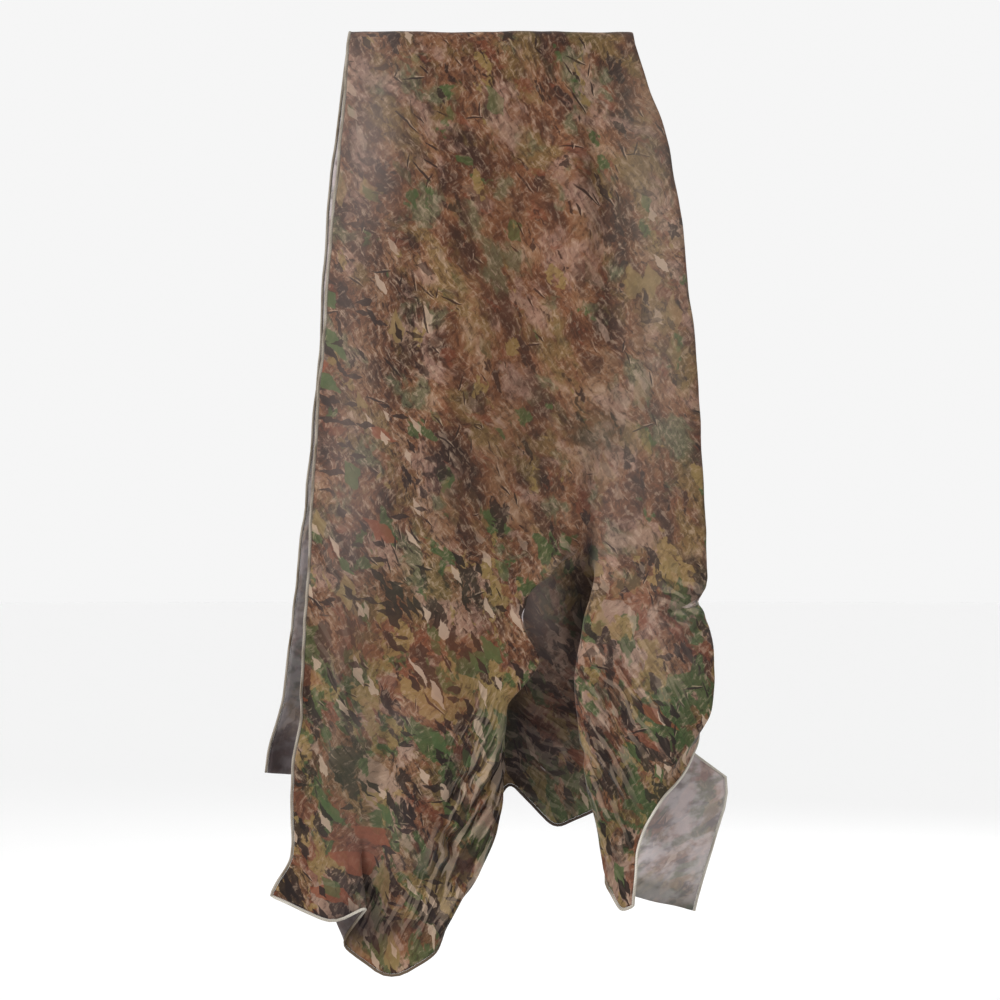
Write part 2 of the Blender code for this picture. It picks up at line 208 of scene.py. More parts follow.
INNER_LINES = table(
    InnerLine,
    ("behind left lip", 0.20, "left wall", 0.4, 0.55),
    ("left inner turn", 0.35, "left wall", 1.0, 1.00),
    ("inner rise", 0.45, "middle", 0.4, 1.00),
    ("inner fold", 0.55, "middle", 1.0, 1.00),
    ("right inner turn", 0.70, "right wall", 1.0, 1.00),
)


class HemFold(NamedTuple):
    """One level of the small fold in the front hem."""

    drop: float
    dip: float
    outer: float
    inner: float
    tip: float


HEM_FOLD = table(
    HemFold,
    (1.40, -0.258, -0.216, -0.192, -0.146),
    (1.45, -0.262, -0.211, -0.222, -0.146),
    (1.53, -0.268, -0.208, -0.276, -0.152),
    (1.57, -0.268, -0.208, -0.262, -0.160),
    (1.63, -0.268, -0.208, -0.230, -0.168),
)


class BackSection(NamedTuple):
    """One level of the back panel, whose right selvedge swings out near the hem."""

    drop: float
    left: float
    turn: float
    selvedge: float
    selvedge_depth: float


BACK_SECTIONS = table(
    BackSection,
    (0.00, -0.241, 0.247, -0.150, 0.006),
    (0.13, -0.259, 0.276, -0.110, 0.010),
    (0.30, -0.278, 0.316, -0.030, 0.018),
    (0.65, -0.302, 0.338, 0.130, 0.018),
    (0.92, -0.330, 0.350, 0.235, 0.018),
    (1.05, -0.346, 0.352, 0.290, 0.026),
    (1.12, -0.354, 0.346, 0.318, 0.034),
    (1.17, -0.362, 0.334, 0.330, 0.036),
    (1.24, -0.380, 0.312, 0.340, 0.020),
    (1.302, -0.390, 0.300, 0.411, 0.000),
    (1.40, -0.392, 0.272, 0.388, 0.000),
    (1.53, -0.394, 0.240, 0.353, 0.000),
)


class Lean(NamedTuple):
    """How far each panel stands out from the top fold's side at one drop."""

    drop: float
    front: float
    back: float


LEANS = table(
    Lean,
    (0.00, 0.000, 0.000),
    (0.30, 0.010, 0.008),
    (0.70, 0.022, 0.012),
    (1.00, 0.040, 0.016),
    (1.30, 0.052, 0.020),
    (1.63, 0.050, 0.022),
)


class Ridge(NamedTuple):
    """A soft lengthwise fold; a trough has a negative height."""

    top_x: float
    low_x: float
    half_width: float
    height: float
    start: float
    full: float
    end: float


ON = 9.0  # end of a fold that runs on past the hem
FRONT_RIDGES = table(
    Ridge,
    (-0.200, -0.270, 0.060, 0.010, 0.03, 0.50, ON),
    (-0.110, -0.200, 0.050, -0.008, 0.05, 0.40, ON),
    (-0.030, -0.110, 0.060, 0.012, 0.03, 0.60, ON),
    (0.070, 0.060, 0.045, -0.008, 0.05, 0.30, ON),
    (0.130, 0.200, 0.035, 0.009, 0.03, 0.20, ON),
    (0.178, 0.265, 0.028, -0.008, 0.04, 0.16, 0.95),
    (0.205, 0.345, 0.030, 0.009, 0.04, 0.20, 1.15),
    (0.175, 0.185, 0.022, -0.016, 0.62, 0.88, 1.02),
    (0.300, 0.300, 0.055, 0.020, 0.98, 1.13, 1.40),
    (0.420, 0.350, 0.030, -0.010, 0.90, 0.985, 1.06),
    (-0.060, -0.150, 0.080, 0.018, 1.05, 1.35, ON),
    (0.060, 0.020, 0.030, -0.012, 1.15, 1.31, 1.50),
)
BACK_RIDGES = table(
    Ridge,
    (-0.190, -0.330, 0.045, 0.014, 0.05, 0.60, ON),
    (-0.090, -0.210, 0.050, -0.012, 0.05, 0.50, ON),
    (0.000, -0.080, 0.055, 0.018, 0.05, 0.60, ON),
    (0.090, 0.060, 0.050, -0.010, 0.05, 0.50, ON),
    (0.180, 0.200, 0.050, 0.014, 0.05, 0.50, ON),
    (-0.240, -0.392, 0.024, 0.016, 1.16, 1.27, ON),
)


class Layer(Enum):
    """Which part of the cloth a crease or a tone lies on."""

    FACE = "face of the front panel"
    SUNK = "cloth in the deep fold"
    BACK = "back panel"


class Crease(NamedTuple):
    """A small fold, laid on the cloth: from one place to another, as seen from the front."""

    x: float
    drop: float
    end_x: float
    end_drop: float
    bow: float  # how far its middle stands to the side
    half_width: float
    height: float


CREASES = {
    Layer.FACE: table(
        Crease,
        (0.022, 1.180, -0.028, 1.318, 0.006, 0.008, 0.009),
        (0.017, 1.235, -0.052, 1.345, 0.006, 0.007, 0.011),
        (0.019, 1.273, -0.065, 1.379, 0.006, 0.007, 0.010),
        (0.015, 1.307, -0.055, 1.410, 0.005, 0.006, 0.010),
        (0.012, 1.338, -0.045, 1.441, 0.004, 0.006, 0.009),
        (0.000, 1.376, -0.041, 1.462, 0.003, 0.007, 0.008),
        (-0.017, 1.421, -0.048, 1.486, 0.002, 0.007, 0.007),
        (-0.065, 1.369, -0.065, 1.414, 0.0, 0.022, -0.014),
        (-0.086, 1.350, -0.048, 1.448, 0.005, 0.010, -0.010),
        (-0.155, 1.335, -0.093, 1.362, 0.004, 0.008, 0.008),
        (-0.086, 1.345, -0.017, 1.269, 0.005, 0.009, -0.008),
        (-0.138, 1.410, -0.083, 1.469, 0.004, 0.010, 0.007),
        (-0.213, 1.505, -0.162, 1.484, 0.0, 0.009, 0.006),
        (-0.275, 1.376, -0.237, 1.496, 0.004, 0.012, 0.006),
        (-0.292, 0.998, -0.327, 1.256, 0.004, 0.014, -0.006),
        (-0.249, 1.049, -0.275, 1.324, 0.006, 0.018, 0.008),
        (-0.163, 1.135, -0.203, 1.324, 0.008, 0.016, -0.007),
        (0.368, 0.980, 0.296, 1.004, 0.004, 0.010, -0.011),
        (0.368, 0.955, 0.320, 0.967, 0.003, 0.009, 0.008),
        (0.365, 1.004, 0.275, 1.060, 0.006, 0.010, 0.010),
        (0.344, 1.066, 0.275, 1.135, 0.006, 0.012, -0.007),
        (0.186, 1.034, 0.265, 1.128, 0.006, 0.008, 0.007),
        (0.189, 1.109, 0.227, 1.173, 0.0, 0.008, 0.007),
        (0.153, 1.232, 0.208, 1.340, 0.004, 0.009, -0.009),
        (0.167, 1.213, 0.251, 1.352, 0.005, 0.009, 0.009),
        (0.189, 1.307, 0.237, 1.428, 0.003, 0.010, 0.006),
        (0.017, 0.912, 0.107, 0.943, 0.004, 0.012, 0.006),
        (-0.034, 0.980, 0.064, 1.015, 0.006, 0.014, -0.006),
        (-0.155, 0.052, -0.189, 0.912, 0.010, 0.030, 0.006),
        (-0.034, 0.086, -0.034, 0.843, -0.012, 0.028, -0.005),
        (0.120, 0.052, 0.206, 0.757, 0.010, 0.026, 0.006),
        (0.224, 0.103, 0.292, 0.671, -0.006, 0.022, -0.006),
    ),
    Layer.SUNK: table(
        Crease,
        (0.150, 0.912, 0.150, 1.118, 0.0, 0.020, -0.012),
        (0.100, 1.109, 0.138, 1.139, 0.0, 0.009, 0.008),
        (0.026, 1.161, 0.072, 1.204, 0.004, 0.010, -0.010),
        (0.053, 1.199, 0.124, 1.232, 0.004, 0.009, 0.010),
        (0.124, 1.232, 0.138, 1.280, 0.004, 0.009, 0.010),
        (0.072, 1.283, 0.138, 1.261, 0.003, 0.009, 0.009),
        (0.029, 1.299, 0.105, 1.340, 0.004, 0.009, 0.009),
        (0.043, 1.049, 0.095, 1.092, 0.004, 0.012, 0.008),
    ),
}


class Tone(NamedTuple):
    """A soft place where the colour differs from the rest: the print paler, greener, darker,
    busier or rustier, with painted shade in the dark and some painted light in the pale.
    """

    x: float
    drop: float
    half_x: float
    half_drop: float
    # pale: paler print, and painted light on the deep fold's lip and in its upper inside
    pale: float = 0.0
    green: float = 0.0
    # dark: mostly painted shade in the folds and on shaded parts, and some darker print
    dark: float = 0.0
    busy: float = 0.0
    rust: float = 0.0


# The dark of many of these places is painted shade, and a few pales are painted light, as marked
TONES = {
    Layer.FACE: (
        Tone(-0.244, 0.636, 0.052, 0.568, pale=0.21, green=0.05, busy=0.75),
        Tone(-0.206, 0.172, 0.062, 0.189, pale=0.36, green=0.1, busy=0.35),
        Tone(0.292, 0.516, 0.062, 0.361, pale=0.24, green=0.15, busy=0.2),
        Tone(0.258, 0.206, 0.052, 0.172, pale=0.14, green=0.2),
        Tone(0.210, 0.808, 0.045, 0.155, pale=0.17, busy=0.2),
        Tone(0.189, 0.697, 0.045, 0.038, green=0.5, busy=0.3),
        Tone(-0.103, 0.808, 0.058, 0.103, dark=0.25),
        Tone(-0.220, 0.791, 0.069, 0.172, pale=0.16),
        Tone(0.069, 0.740, 0.155, 0.155, green=0.08, dark=0.2),
        Tone(0.034, 0.430, 0.138, 0.344, rust=0.35),
        Tone(-0.155, 1.221, 0.241, 0.224, dark=0.16, busy=0.2),
        Tone(0.258, 1.256, 0.103, 0.206, dark=0.1),
        Tone(-0.241, 1.273, 0.069, 0.069, green=0.45, busy=0.4),
        Tone(-0.103, 0.963, 0.103, 0.041, green=0.3, busy=0.3),
        Tone(-0.241, 1.049, 0.062, 0.045, rust=0.7),
        Tone(-0.069, 1.066, 0.086, 0.045, rust=0.6),
        Tone(-0.086, 1.152, 0.045, 0.041, busy=0.3, rust=0.7),
        Tone(-0.189, 1.187, 0.069, 0.034, pale=0.17, busy=0.6),
        Tone(-0.213, 1.404, 0.079, 0.069, pale=0.1, dark=0.16, busy=0.8),
        # painted shadow in the dimple low on the left lobe, where its creases meet
        Tone(-0.069, 1.419, 0.038, 0.041, dark=0.5),
        # painted shade inside the tip at the hem fold
        Tone(-0.237, 1.539, 0.045, 0.045, dark=1),
        Tone(-0.163, 1.539, 0.069, 0.024, dark=0.5, busy=0.3),
        Tone(-0.169, 1.574, 0.041, 0.041, busy=0.3, rust=0.6),
        Tone(0.292, 1.066, 0.069, 0.086, pale=0.14),
        Tone(0.258, 1.324, 0.058, 0.069, green=0.35, busy=0.3),
        # painted highlight on the deep fold's left lip, then painted shade in the pit at its top
        Tone(0.138, 0.929, 0.045, 0.014, pale=0.35),
        Tone(0.172, 0.898, 0.012, 0.034, dark=0.9),
    ),
    Layer.SUNK: (
        # painted light in the deep fold's upper inside; the dark places below it are painted shade
        Tone(0.079, 0.987, 0.041, 0.076, pale=0.65, busy=0.6),
        Tone(0.160, 1.023, 0.026, 0.120, dark=1),
        Tone(0.043, 1.178, 0.031, 0.120, dark=0.75),
        Tone(0.103, 1.066, 0.058, 0.086, pale=0.22, busy=0.3),
        Tone(0.103, 1.238, 0.079, 0.103, pale=0.14, dark=0.6, busy=0.4),
        Tone(0.095, 1.355, 0.103, 0.028, green=0.6),
    ),
    Layer.BACK: (
        # painted shade on the back panel's strip beside the front's left edge, down to its corner
        Tone(-0.351, 0.946, 0.069, 0.327, green=0.1, dark=0.72, busy=1),
        Tone(-0.361, 1.170, 0.069, 0.086, green=0.1, dark=0.35),
        Tone(-0.372, 1.264, 0.058, 0.041, dark=0.95, rust=1),
        Tone(0.344, 1.410, 0.069, 0.120, pale=0.2, busy=1),
        Tone(0.265, 1.490, 0.052, 0.026, green=1, dark=0.6),
        Tone(0.347, 1.526, 0.048, 0.026, green=1, dark=0.6),
        # painted shade on the flap's upper corner, which tilts away
        Tone(0.372, 1.273, 0.045, 0.034, dark=0.25, rust=0.6),
    ),
}


class PleatRun(Enum):
    """Which way a run of fine creases goes."""

    FAN = 0  # down to the left
    LOBE = 1  # down to the right
    INNER = 2  # nearly level


class Pleated(NamedTuple):
    """A soft place where one run of fine creases shows."""

    run: PleatRun
    x: float
    drop: float
    half_x: float
    half_drop: float
    strength: float


PLEATED = {
    Layer.FACE: table(
        Pleated,
        (PleatRun.FAN, -0.017, 1.324, 0.052, 0.165, 1.0),
        (PleatRun.FAN, -0.058, 1.424, 0.052, 0.069, 0.9),
        (PleatRun.FAN, -0.138, 1.505, 0.103, 0.069, 0.45),
        (PleatRun.LOBE, 0.203, 1.281, 0.045, 0.172, 0.60),
        (PleatRun.LOBE, 0.258, 1.135, 0.086, 0.103, 0.4),
        (PleatRun.LOBE, -0.275, 1.049, 0.069, 0.258, 0.18),
        (PleatRun.INNER, 0.334, 0.989, 0.052, 0.045, 0.6),
    ),
    Layer.SUNK: table(
        Pleated,
        (PleatRun.INNER, 0.086, 1.221, 0.120, 0.189, 0.30),
    ),
}


def column(rows: Sequence[NamedTuple], name: str) -> np.ndarray:
    """One named column of a table as an array."""
    return np.array([getattr(row, name) for row in rows])


def read(rows: Sequence[NamedTuple], name: str, drop: np.ndarray) -> np.ndarray:
    """A table's column at any drop: a smooth curve that never overshoots its rows.

    Args:
        rows: a table with a drop in each row, in rising order.
        name: the column's name.
        drop: where it is read.

    Returns:
        The column's values there.
    """
    drops, values = column(rows, "drop"), column(rows, name)
    steps = np.diff(drops)
    slopes = np.diff(values) / steps
    tangents = np.concatenate([slopes[:1], np.zeros(len(slopes) - 1), slopes[-1:]])
    for i in range(1, len(slopes)):
        if slopes[i - 1] * slopes[i] > 0:
            tangents[i] = 2 * slopes[i - 1] * slopes[i] / (slopes[i - 1] + slopes[i])
    drop = np.clip(drop, drops[0], drops[-1])
    i = np.clip(np.searchsorted(drops, drop) - 1, 0, len(steps) - 1)
    t = (drop - drops[i]) / steps[i]
    ease = t * t * (3 - 2 * t)
    lift = steps[i] * t * (1 - t) * ((1 - t) * tangents[i] - t * tangents[i + 1])
    return values[i] * (1 - ease) + values[i + 1] * ease + lift


def rise(value: np.ndarray, start: float, full: float) -> np.ndarray:
    """0 before the start, 1 past the full value, and a smooth step between."""
    t = np.clip((value - start) / (full - start), 0, 1)
    return t * t * (3 - 2 * t)


def mix(first: np.ndarray, second: np.ndarray, amount: np.ndarray) -> np.ndarray:
    """The value that lies this share of the way from the first to the second."""
    return first * (1 - amount) + second * amount


def unit(vectors: np.ndarray) -> np.ndarray:
    """The vectors at length 1."""
    return vectors / np.maximum(np.linalg.norm(vectors, axis=-1, keepdims=True), 1e-12)


def line_index(name: str) -> int:
    """Where a line stands in the table of lines."""
    return [line.name for line in LINES].index(name)


def line_column(name: str) -> int:
    """The column of points that runs down the middle of a line's bend.

    Args:
        name: the line's name.

    Returns:
        The column's number.
    """
    before = LINES[: line_index(name)]
    passed = sum(line.bend_columns + line.onward_columns for line in before)
    return passed + LINES[line_index(name)].bend_columns // 2


def dye(red: int, green: int, blue: int) -> Dye:
    """A dye named by its red, green and blue out of 255, as linear colour."""
    return (*(((c / 255 + 0.055) / 1.055) ** 2.4 for c in (red, green, blue)), 1.0)


def fold_hem(lines: np.ndarray, drop: np.ndarray) -> None:
    """Lays the small fold into the front hem's lines.

    Args:
        lines: each line's x, depth and drop, changed in place.
        drop: each line's drop.
    """
    nears = rise(drop, HEM_FOLD_NEARS, HEM_FOLD_START)
    folded = rise(drop, HEM_FOLD_START, HEM_FOLD_FULL)
    for name, place, depth in (
        ("hem dip", "dip", 0),
        ("hem fold, outer", "outer", 0),
        ("hem fold, inner", "inner", HEM_FOLD_DEPTH),
        ("left tip", "tip", TIP_DEPTH),
        ("left lip", None, LIP_DEPTH),
    ):
        i = line_index(name)
        lines[i, 1] = depth * folded[i]
        if place:
            lines[i, 0] = mix(lines[i, 0], read(HEM_FOLD, place, drop[i]), nears[i])


def fold_deep(
    lines: np.ndarray, drop: np.ndarray, left_lip: np.ndarray, right_lip: np.ndarray
) -> None:
    """Sets the deep fold's lines: its two lips and the cloth that is sunk behind them.

    Args:
        lines: each line's x, depth and drop, changed in place.
        drop: each line's drop.
        left_lip: the left lip's x at each line's drop.
        right_lip: the right lip's x at each line's drop.
    """
    sunk = rise(drop, DEEP_FOLD_START, DEEP_FOLD_FULL)
    parted = rise(drop, DEEP_FOLD_PARTS, DEEP_FOLD_FULL)
    left, right = line_index("left lip"), line_index("right lip")
    lines[left, 0], lines[right, 0] = left_lip[left], right_lip[right]
    walls = {
        "left wall": (left_lip[left], LEFT_TURN_X),
        "middle": (LEFT_TURN_X, INNER_FOLD_X),
        "right wall": (right_lip[right], right_lip[right] + INNER_TURN_REACH),
    }
    for fold in INNER_LINES:
        i = line_index(fold.name)
        together = mix(left_lip[i], right_lip[i], fold.across)
        lines[i, 0] = mix(together, mix(*walls[fold.part], fold.along), parted[i])
        lines[i, 1] = fold.depth * DEEP_FOLD_DEPTH * sunk[i]


@dataclass
class DrapedSurface:
    """The middle of the cloth as a grid of points, with what the folds, the print and its painted
    shade and light need.
    """

    upper_rows: int = 66  # of the front panel, down to where its deep fold begins
    upper_share: float = 0.54
    lower_rows: int = 150
    crest_rows: int = 12
    back_rows: int = 64
    crumple: tuple[tuple[float, float], ...] = ((0.12, 0.0060), (0.045, 0.0026), (0.019, 0.0009))
    crumple_stretch: float = 1.6  # how much longer it is down the cloth than across
    crumple_apart: float = 7.3  # between the noise of one size and of the next
    crumple_hidden: float = 0.6  # share that cloth behind a fold loses
    crumple_at_crest: float = 0.35
    crumple_from: tuple[float, float] = (0.02, 0.30)  # way down the cloth
    waver: tuple[float, float] = (0.055, 0.0035)  # size and amount
    waver_noise: tuple[tuple[int, float], ...] = ((0, 31.7), (2, 57.1))  # for x and for z
    waver_from: tuple[float, float] = (0.04, 0.20)
    points: np.ndarray = field(init=False)
    drops: np.ndarray = field(init=False)
    depths: np.ndarray = field(init=False)
    sides: np.ndarray = field(init=False)
    cloth: np.ndarray = field(init=False)

    def build(self) -> None:
        """Makes the grid: the main folds, the cloth's own measure, then the wrinkles."""
        low = np.linspace(1, self.upper_share, self.lower_rows + 1)
        high = np.linspace(self.upper_share, 0, self.upper_rows + 1)[1:]
        down = np.concatenate([low, high])
        rows = [self.panel_row(self.front_lines(share), -1) for share in down]
        rows += [self.crest_row(i / self.crest_rows) for i in range(1, self.crest_rows)]
        down = np.linspace(0, 1, self.back_rows + 1)
        rows += [self.panel_row(self.back_lines(share), 1) for share in down]
        grid = np.array(rows)
        self.points, self.depths, self.sides = grid[..., :3], grid[..., 3], grid[..., 4]
        self.drops = CREST_HEIGHT - self.points[..., 2]
        self.cloth = self.measure()
        self.points = self.points + self.normals() * self.wrinkles()[..., None] + self.wavy()

    def line_drops(self, hem: str, length: float, fraction: float) -> np.ndarray:
        """The drop of one row on each line: level at first, bending to meet the hem.

        Args:
            hem: the column of LINES with the hem's drops.
            length: the drop of a hem with no bend.
            fraction: how far down the panel the row lies.

        Returns:
            A drop for each line.
        """
        bend = max(0, fraction - LEVEL_SHARE) / (1 - LEVEL_SHARE)
        level = mix(FOLD_RADIUS, length, fraction)
        return level + (column(LINES, hem) - length) * bend**HEM_BEND

    def plain_lines(
        self, edges: Sequence[np.ndarray], drop: np.ndarray, share: np.ndarray
    ) -> np.ndarray:
        """Each line's place on cloth that has no fold but the one at its right.

        Args:
            edges: x of the left selvedge, of the right turn and of the right selvedge,
                and the right selvedge's depth, at each line's drop.
            drop: each line's drop.
            share: how far across each line lies.

        Returns:
            Each line's x, depth and drop.
        """
        left, turn, selvedge, selvedge_depth = edges
        x = mix(left, turn, share)
        depth = np.zeros(len(LINES))
        x[-1], depth[-1] = selvedge[-1], selvedge_depth[-1]
        overlap = turn[-2] - selvedge[-2] - selvedge_depth[-2]
        folded = rise(overlap, 0, FOLDED_OVER)
        x[-2] = mix(mix(turn[-2], selvedge[-2], UNFOLDED_SHARE), turn[-2], folded)
        depth[-2] = selvedge_depth[-2] * mix(UNFOLDED_SHARE, 1, folded)
        return np.stack([x, depth, drop], axis=1)

    def front_lines(self, fraction: float) -> np.ndarray:
        """Each line's x, depth behind the face and drop, this far down the front panel.

        Args:
            fraction: 0 at the top fold and 1 at the hem.

        Returns:
            A row of three for each line.
        """
        drop = self.line_drops("front_hem", FRONT_LENGTH, fraction)
        left, left_lip, right_lip, *right = (
            read(FRONT_SECTIONS, name, drop) for name in FrontSection._fields[1:]
        )
        share = column(LINES, "share")
        lines = self.plain_lines((left, *right), drop, share)
        lip = line_index("left lip")
        lines[:lip, 0] = mix(left, left_lip, share / share[lip])[:lip]
        fold_hem(lines, drop)
        fold_deep(lines, drop, left_lip, right_lip)
        return lines

    def back_lines(self, fraction: float) -> np.ndarray:
        """The same for the back panel.

        Args:
            fraction: 0 at the top fold and 1 at the hem.

        Returns:
            A row of three for each line.
        """
        drop = self.line_drops("back_hem", BACK_LENGTH, fraction)
        edges = [read(BACK_SECTIONS, name, drop) for name in BackSection._fields[1:]]
        share = mix(column(LINES, "share"), column(LINES, "low_share"), fraction)
        return self.plain_lines(edges, drop, share)

    def rounded(self, points: np.ndarray) -> np.ndarray:
        """The chain of lines as a row of points, each bend rounded by a curve.

        Args:
            points: each line's x, depth and drop.

        Returns:
            The same of each point in the row.
        """
        row = [points[0]]
        leave = points[0]
        for i in range(1, len(points)):
            arrive, after = points[i], points[i]
            if i < len(points) - 1:
                runs = points[i - 1] - points[i], points[i + 1] - points[i]
                lengths = [np.linalg.norm(run) for run in runs]
                cuts = [min(LINES[i].rounding, BEND_SHARE * length) for length in lengths]
                arrive = points[i] + runs[0] * cuts[0] / lengths[0]
                after = points[i] + runs[1] * cuts[1] / lengths[1]
            for t in np.linspace(0, 1, LINES[i - 1].onward_columns + 1)[1:]:
                row.append(mix(leave, arrive, t))
            for t in np.linspace(0, 1, LINES[i].bend_columns + 1)[1:]:
                row.append((1 - t) ** 2 * arrive + 2 * t * (1 - t) * points[i] + t * t * after)
            leave = after
        return np.array(row)

    def relief(self, ridges: Sequence[Ridge], x: np.ndarray, drop: np.ndarray) -> np.ndarray:
        """How far the soft folds lift the cloth outwards at a place on a panel.

        Args:
            ridges: the panel's soft folds.
            x: where it is, along the rail.
            drop: how far down it is.

        Returns:
            The lift at each place.
        """
        lift = np.zeros_like(x)
        for ridge in ridges:
            centre = mix(ridge.top_x, ridge.low_x, drop / LOWEST_DROP)
            amount = rise(drop, ridge.start, ridge.full)
            amount = amount * (1 - rise(drop, ridge.full, ridge.end))
            lift += ridge.height * amount * np.exp(-(((x - centre) / ridge.half_width) ** 2))
        return lift

    def panel_row(self, lines: np.ndarray, side: int) -> np.ndarray:
        """One row of a hanging panel.

        Args:
            lines: each line's x, depth and drop.
            side: -1 on the front panel and 1 on the back one.

        Returns:
            x, y, z, depth and side of each point.
        """
        x, depth, drop = self.rounded(lines).T
        ridges, lean = (FRONT_RIDGES, "front") if side < 0 else (BACK_RIDGES, "back")
        lift = self.relief(ridges, x, drop) * (1 - rise(depth, 0, HIDDEN_DEPTH))
        out = FOLD_RADIUS - depth + read(LEANS, lean, drop) + lift
        height = CREST_HEIGHT - drop
        return np.stack([x, side * out, height, depth, np.full_like(x, side)], axis=1)

    def crest_row(self, turned: float) -> np.ndarray:
        """One row over the top fold; turned goes from 0 to 1 over it.

        Args:
            turned: 0 at the front panel and 1 at the back one.

        Returns:
            x, y, z, depth and side of each point.
        """
        lines = mix(self.front_lines(0), self.back_lines(0), turned)
        x, depth, _ = self.rounded(lines).T
        radius = FOLD_RADIUS - depth
        x = x * (1 - CREST_TAPER * math.sin(math.pi * turned))
        height = radius * math.sin(math.pi * turned) - RAIL_RADIUS
        y = -radius * math.cos(math.pi * turned)
        side = np.full_like(x, -math.cos(math.pi * turned))
        return np.stack([x, y, height, depth, side], axis=1)

    def normals(self) -> np.ndarray:
        """The outward normal at each point: to the front on the front panel.

        Returns:
            A unit vector for each point.
        """
        across = np.gradient(self.points, axis=1)
        along = np.gradient(self.points, axis=0)
        return unit(np.cross(across, along))

    def measure(self) -> np.ndarray:
        """Each point's place on the printed cloth in metres, across and along it.

        Across, the print runs on evenly in each part that shows, and the folds' hidden
        walls take up what is over. Along, it starts at the crest, the front being negative.

        Returns:
            Two measures for each point.
        """
        steps = np.linalg.norm(np.diff(self.points, axis=1), axis=2)
        arc = np.pad(np.cumsum(steps, axis=1), ((0, 0), (1, 0)))
        across = self.points[..., 0].copy()
        parts = [tuple(line_column(name) for name in part) for part in PRINT_PARTS]
        for start, anchor, end in parts:
            own = arc[:, start : end + 1] - arc[:, anchor : anchor + 1]
            across[:, start : end + 1] = self.points[:, anchor : anchor + 1, 0] + own
        for (_, _, leave), (arrive, _, _) in zip(parts, parts[1:]):
            wall = arc[:, leave : arrive + 1] - arc[:, leave : leave + 1]
            ends = across[:, leave : leave + 1].copy(), across[:, arrive : arrive + 1].copy()
            across[:, leave : arrive + 1] = mix(*ends, wall / wall[:, -1:])
        front = self.lower_rows + self.upper_rows
        quarter = math.pi * FOLD_RADIUS / 2
        along = self.drops - FOLD_RADIUS + quarter
        along[: front + 1] *= -1
        for turned in range(self.crest_rows + 1):
            along[front + turned] = mix(-quarter, quarter, turned / self.crest_rows)
        return np.stack([across, along], axis=2)

    def on_layer(self, layer: Layer) -> np.ndarray:
        """From 0 to 1, how far each point belongs to this layer.

        Args:
            layer: the front's face, the cloth sunk in its fold, or the back.

        Returns:
            A share for each point.
        """
        if layer is Layer.BACK:
            return (self.sides > 0) * 1.0
        sunk = rise(self.depths, *SUNK_DEPTHS)
        front = (self.sides < 0) * 1.0
        return front * (sunk if layer is Layer.SUNK else 1 - sunk)

    def down_cloth(self) -> np.ndarray:
        """How far each point lies from the crest, along the cloth."""
        return np.abs(self.cloth[..., 1])

    def noisy(self, across: float, along: float, part: float) -> np.ndarray:
        """Smooth noise at each point of the flat cloth.

        Args:
            across: its size across the cloth.
            along: its size down the cloth.
            part: which of the many noises it is.

        Returns:
            A value between -1 and 1 for each point.
        """
        flat = self.cloth.reshape(-1, 2)
        values = [noise.noise(Vector((u / across, v / along, part))) for u, v in flat]
        return np.array(values).reshape(self.depths.shape)

    def wrinkles(self) -> np.ndarray:
        """How far the creases and the soft crumple lift each point along its normal.

        Returns:
            A height for each point.
        """
        lift = np.zeros_like(self.drops)
        for layer, creases in CREASES.items():
            here = self.on_layer(layer)
            for crease in creases:
                lift += crease.height * self.creased(crease) * here
        return lift + self.crumpled()

    def creased(self, crease: Crease) -> np.ndarray:
        """One crease's shape at each point: 1 on its crest, and less than 0 beside it.

        Args:
            crease: where it runs.

        Returns:
            Its height there as a share of its own.
        """
        start = np.array([crease.x, crease.drop])
        run = np.array([crease.end_x, crease.end_drop]) - start
        length = np.linalg.norm(run)
        from_start = np.stack([self.points[..., 0], self.drops], axis=2) - start
        t = from_start @ run / length**2
        aside = (from_start[..., 0] * run[1] - from_start[..., 1] * run[0]) / length
        aside = (aside - crease.bow * 4 * t * (1 - t)) / crease.half_width
        ends = rise(t, *CREASE_RISE) * (1 - rise(t, *CREASE_FADE))
        return ends * (1 - CREASE_TROUGHS * aside**2) * np.exp(-(aside**2))

    def crumpled(self) -> np.ndarray:
        """An uneven lift of a few sizes over the whole cloth.

        Returns:
            A height for each point.
        """
        lift = np.zeros_like(self.depths)
        for i, (size, height) in enumerate(self.crumple):
            lift += height * self.noisy(size, self.crumple_stretch * size, i * self.crumple_apart)
        quiet = 1 - self.crumple_hidden * rise(self.depths, 0, HIDDEN_DEPTH)
        calm = rise(self.down_cloth(), *self.crumple_from)
        return lift * quiet * mix(self.crumple_at_crest, 1.0, calm)

    def wavy(self) -> np.ndarray:
        """A small sideways unevenness, which keeps edges and turns from running straight.

        Returns:
            A move for each point.
        """
        size, amount = self.waver
        moved = np.zeros_like(self.points)
        for axis, part in self.waver_noise:
            moved[..., axis] = self.noisy(size, size, part)
        return amount * moved * rise(self.down_cloth(), *self.waver_from)[..., None]

    def away(self, spot: Tone | Pleated) -> np.ndarray:
        """How far each point is from a soft place, squared, in halves of its size."""
        x = (self.points[..., 0] - spot.x) / spot.half_x
        return x**2 + ((self.drops - spot.drop) / spot.half_drop) ** 2

    def tones(self) -> tuple[np.ndarray, np.ndarray]:
        """Paleness, greenness, darkness and busyness at each point, the pale partly painted light
        and the dark mostly painted shade; the print's rust.

        Returns:
            Those four together from 0 to 1, and then the rust.
        """
        amounts = np.zeros((*self.drops.shape, 5))
        for layer, tones in TONES.items():
            on_layer = self.on_layer(layer)
            for tone in tones:
                here = np.exp(-self.away(tone)) * on_layer
                amounts += here[..., None] * np.array(tone[4:])
        amounts = np.clip(amounts, 0, 1)
        return amounts[..., :4], amounts[..., 4]

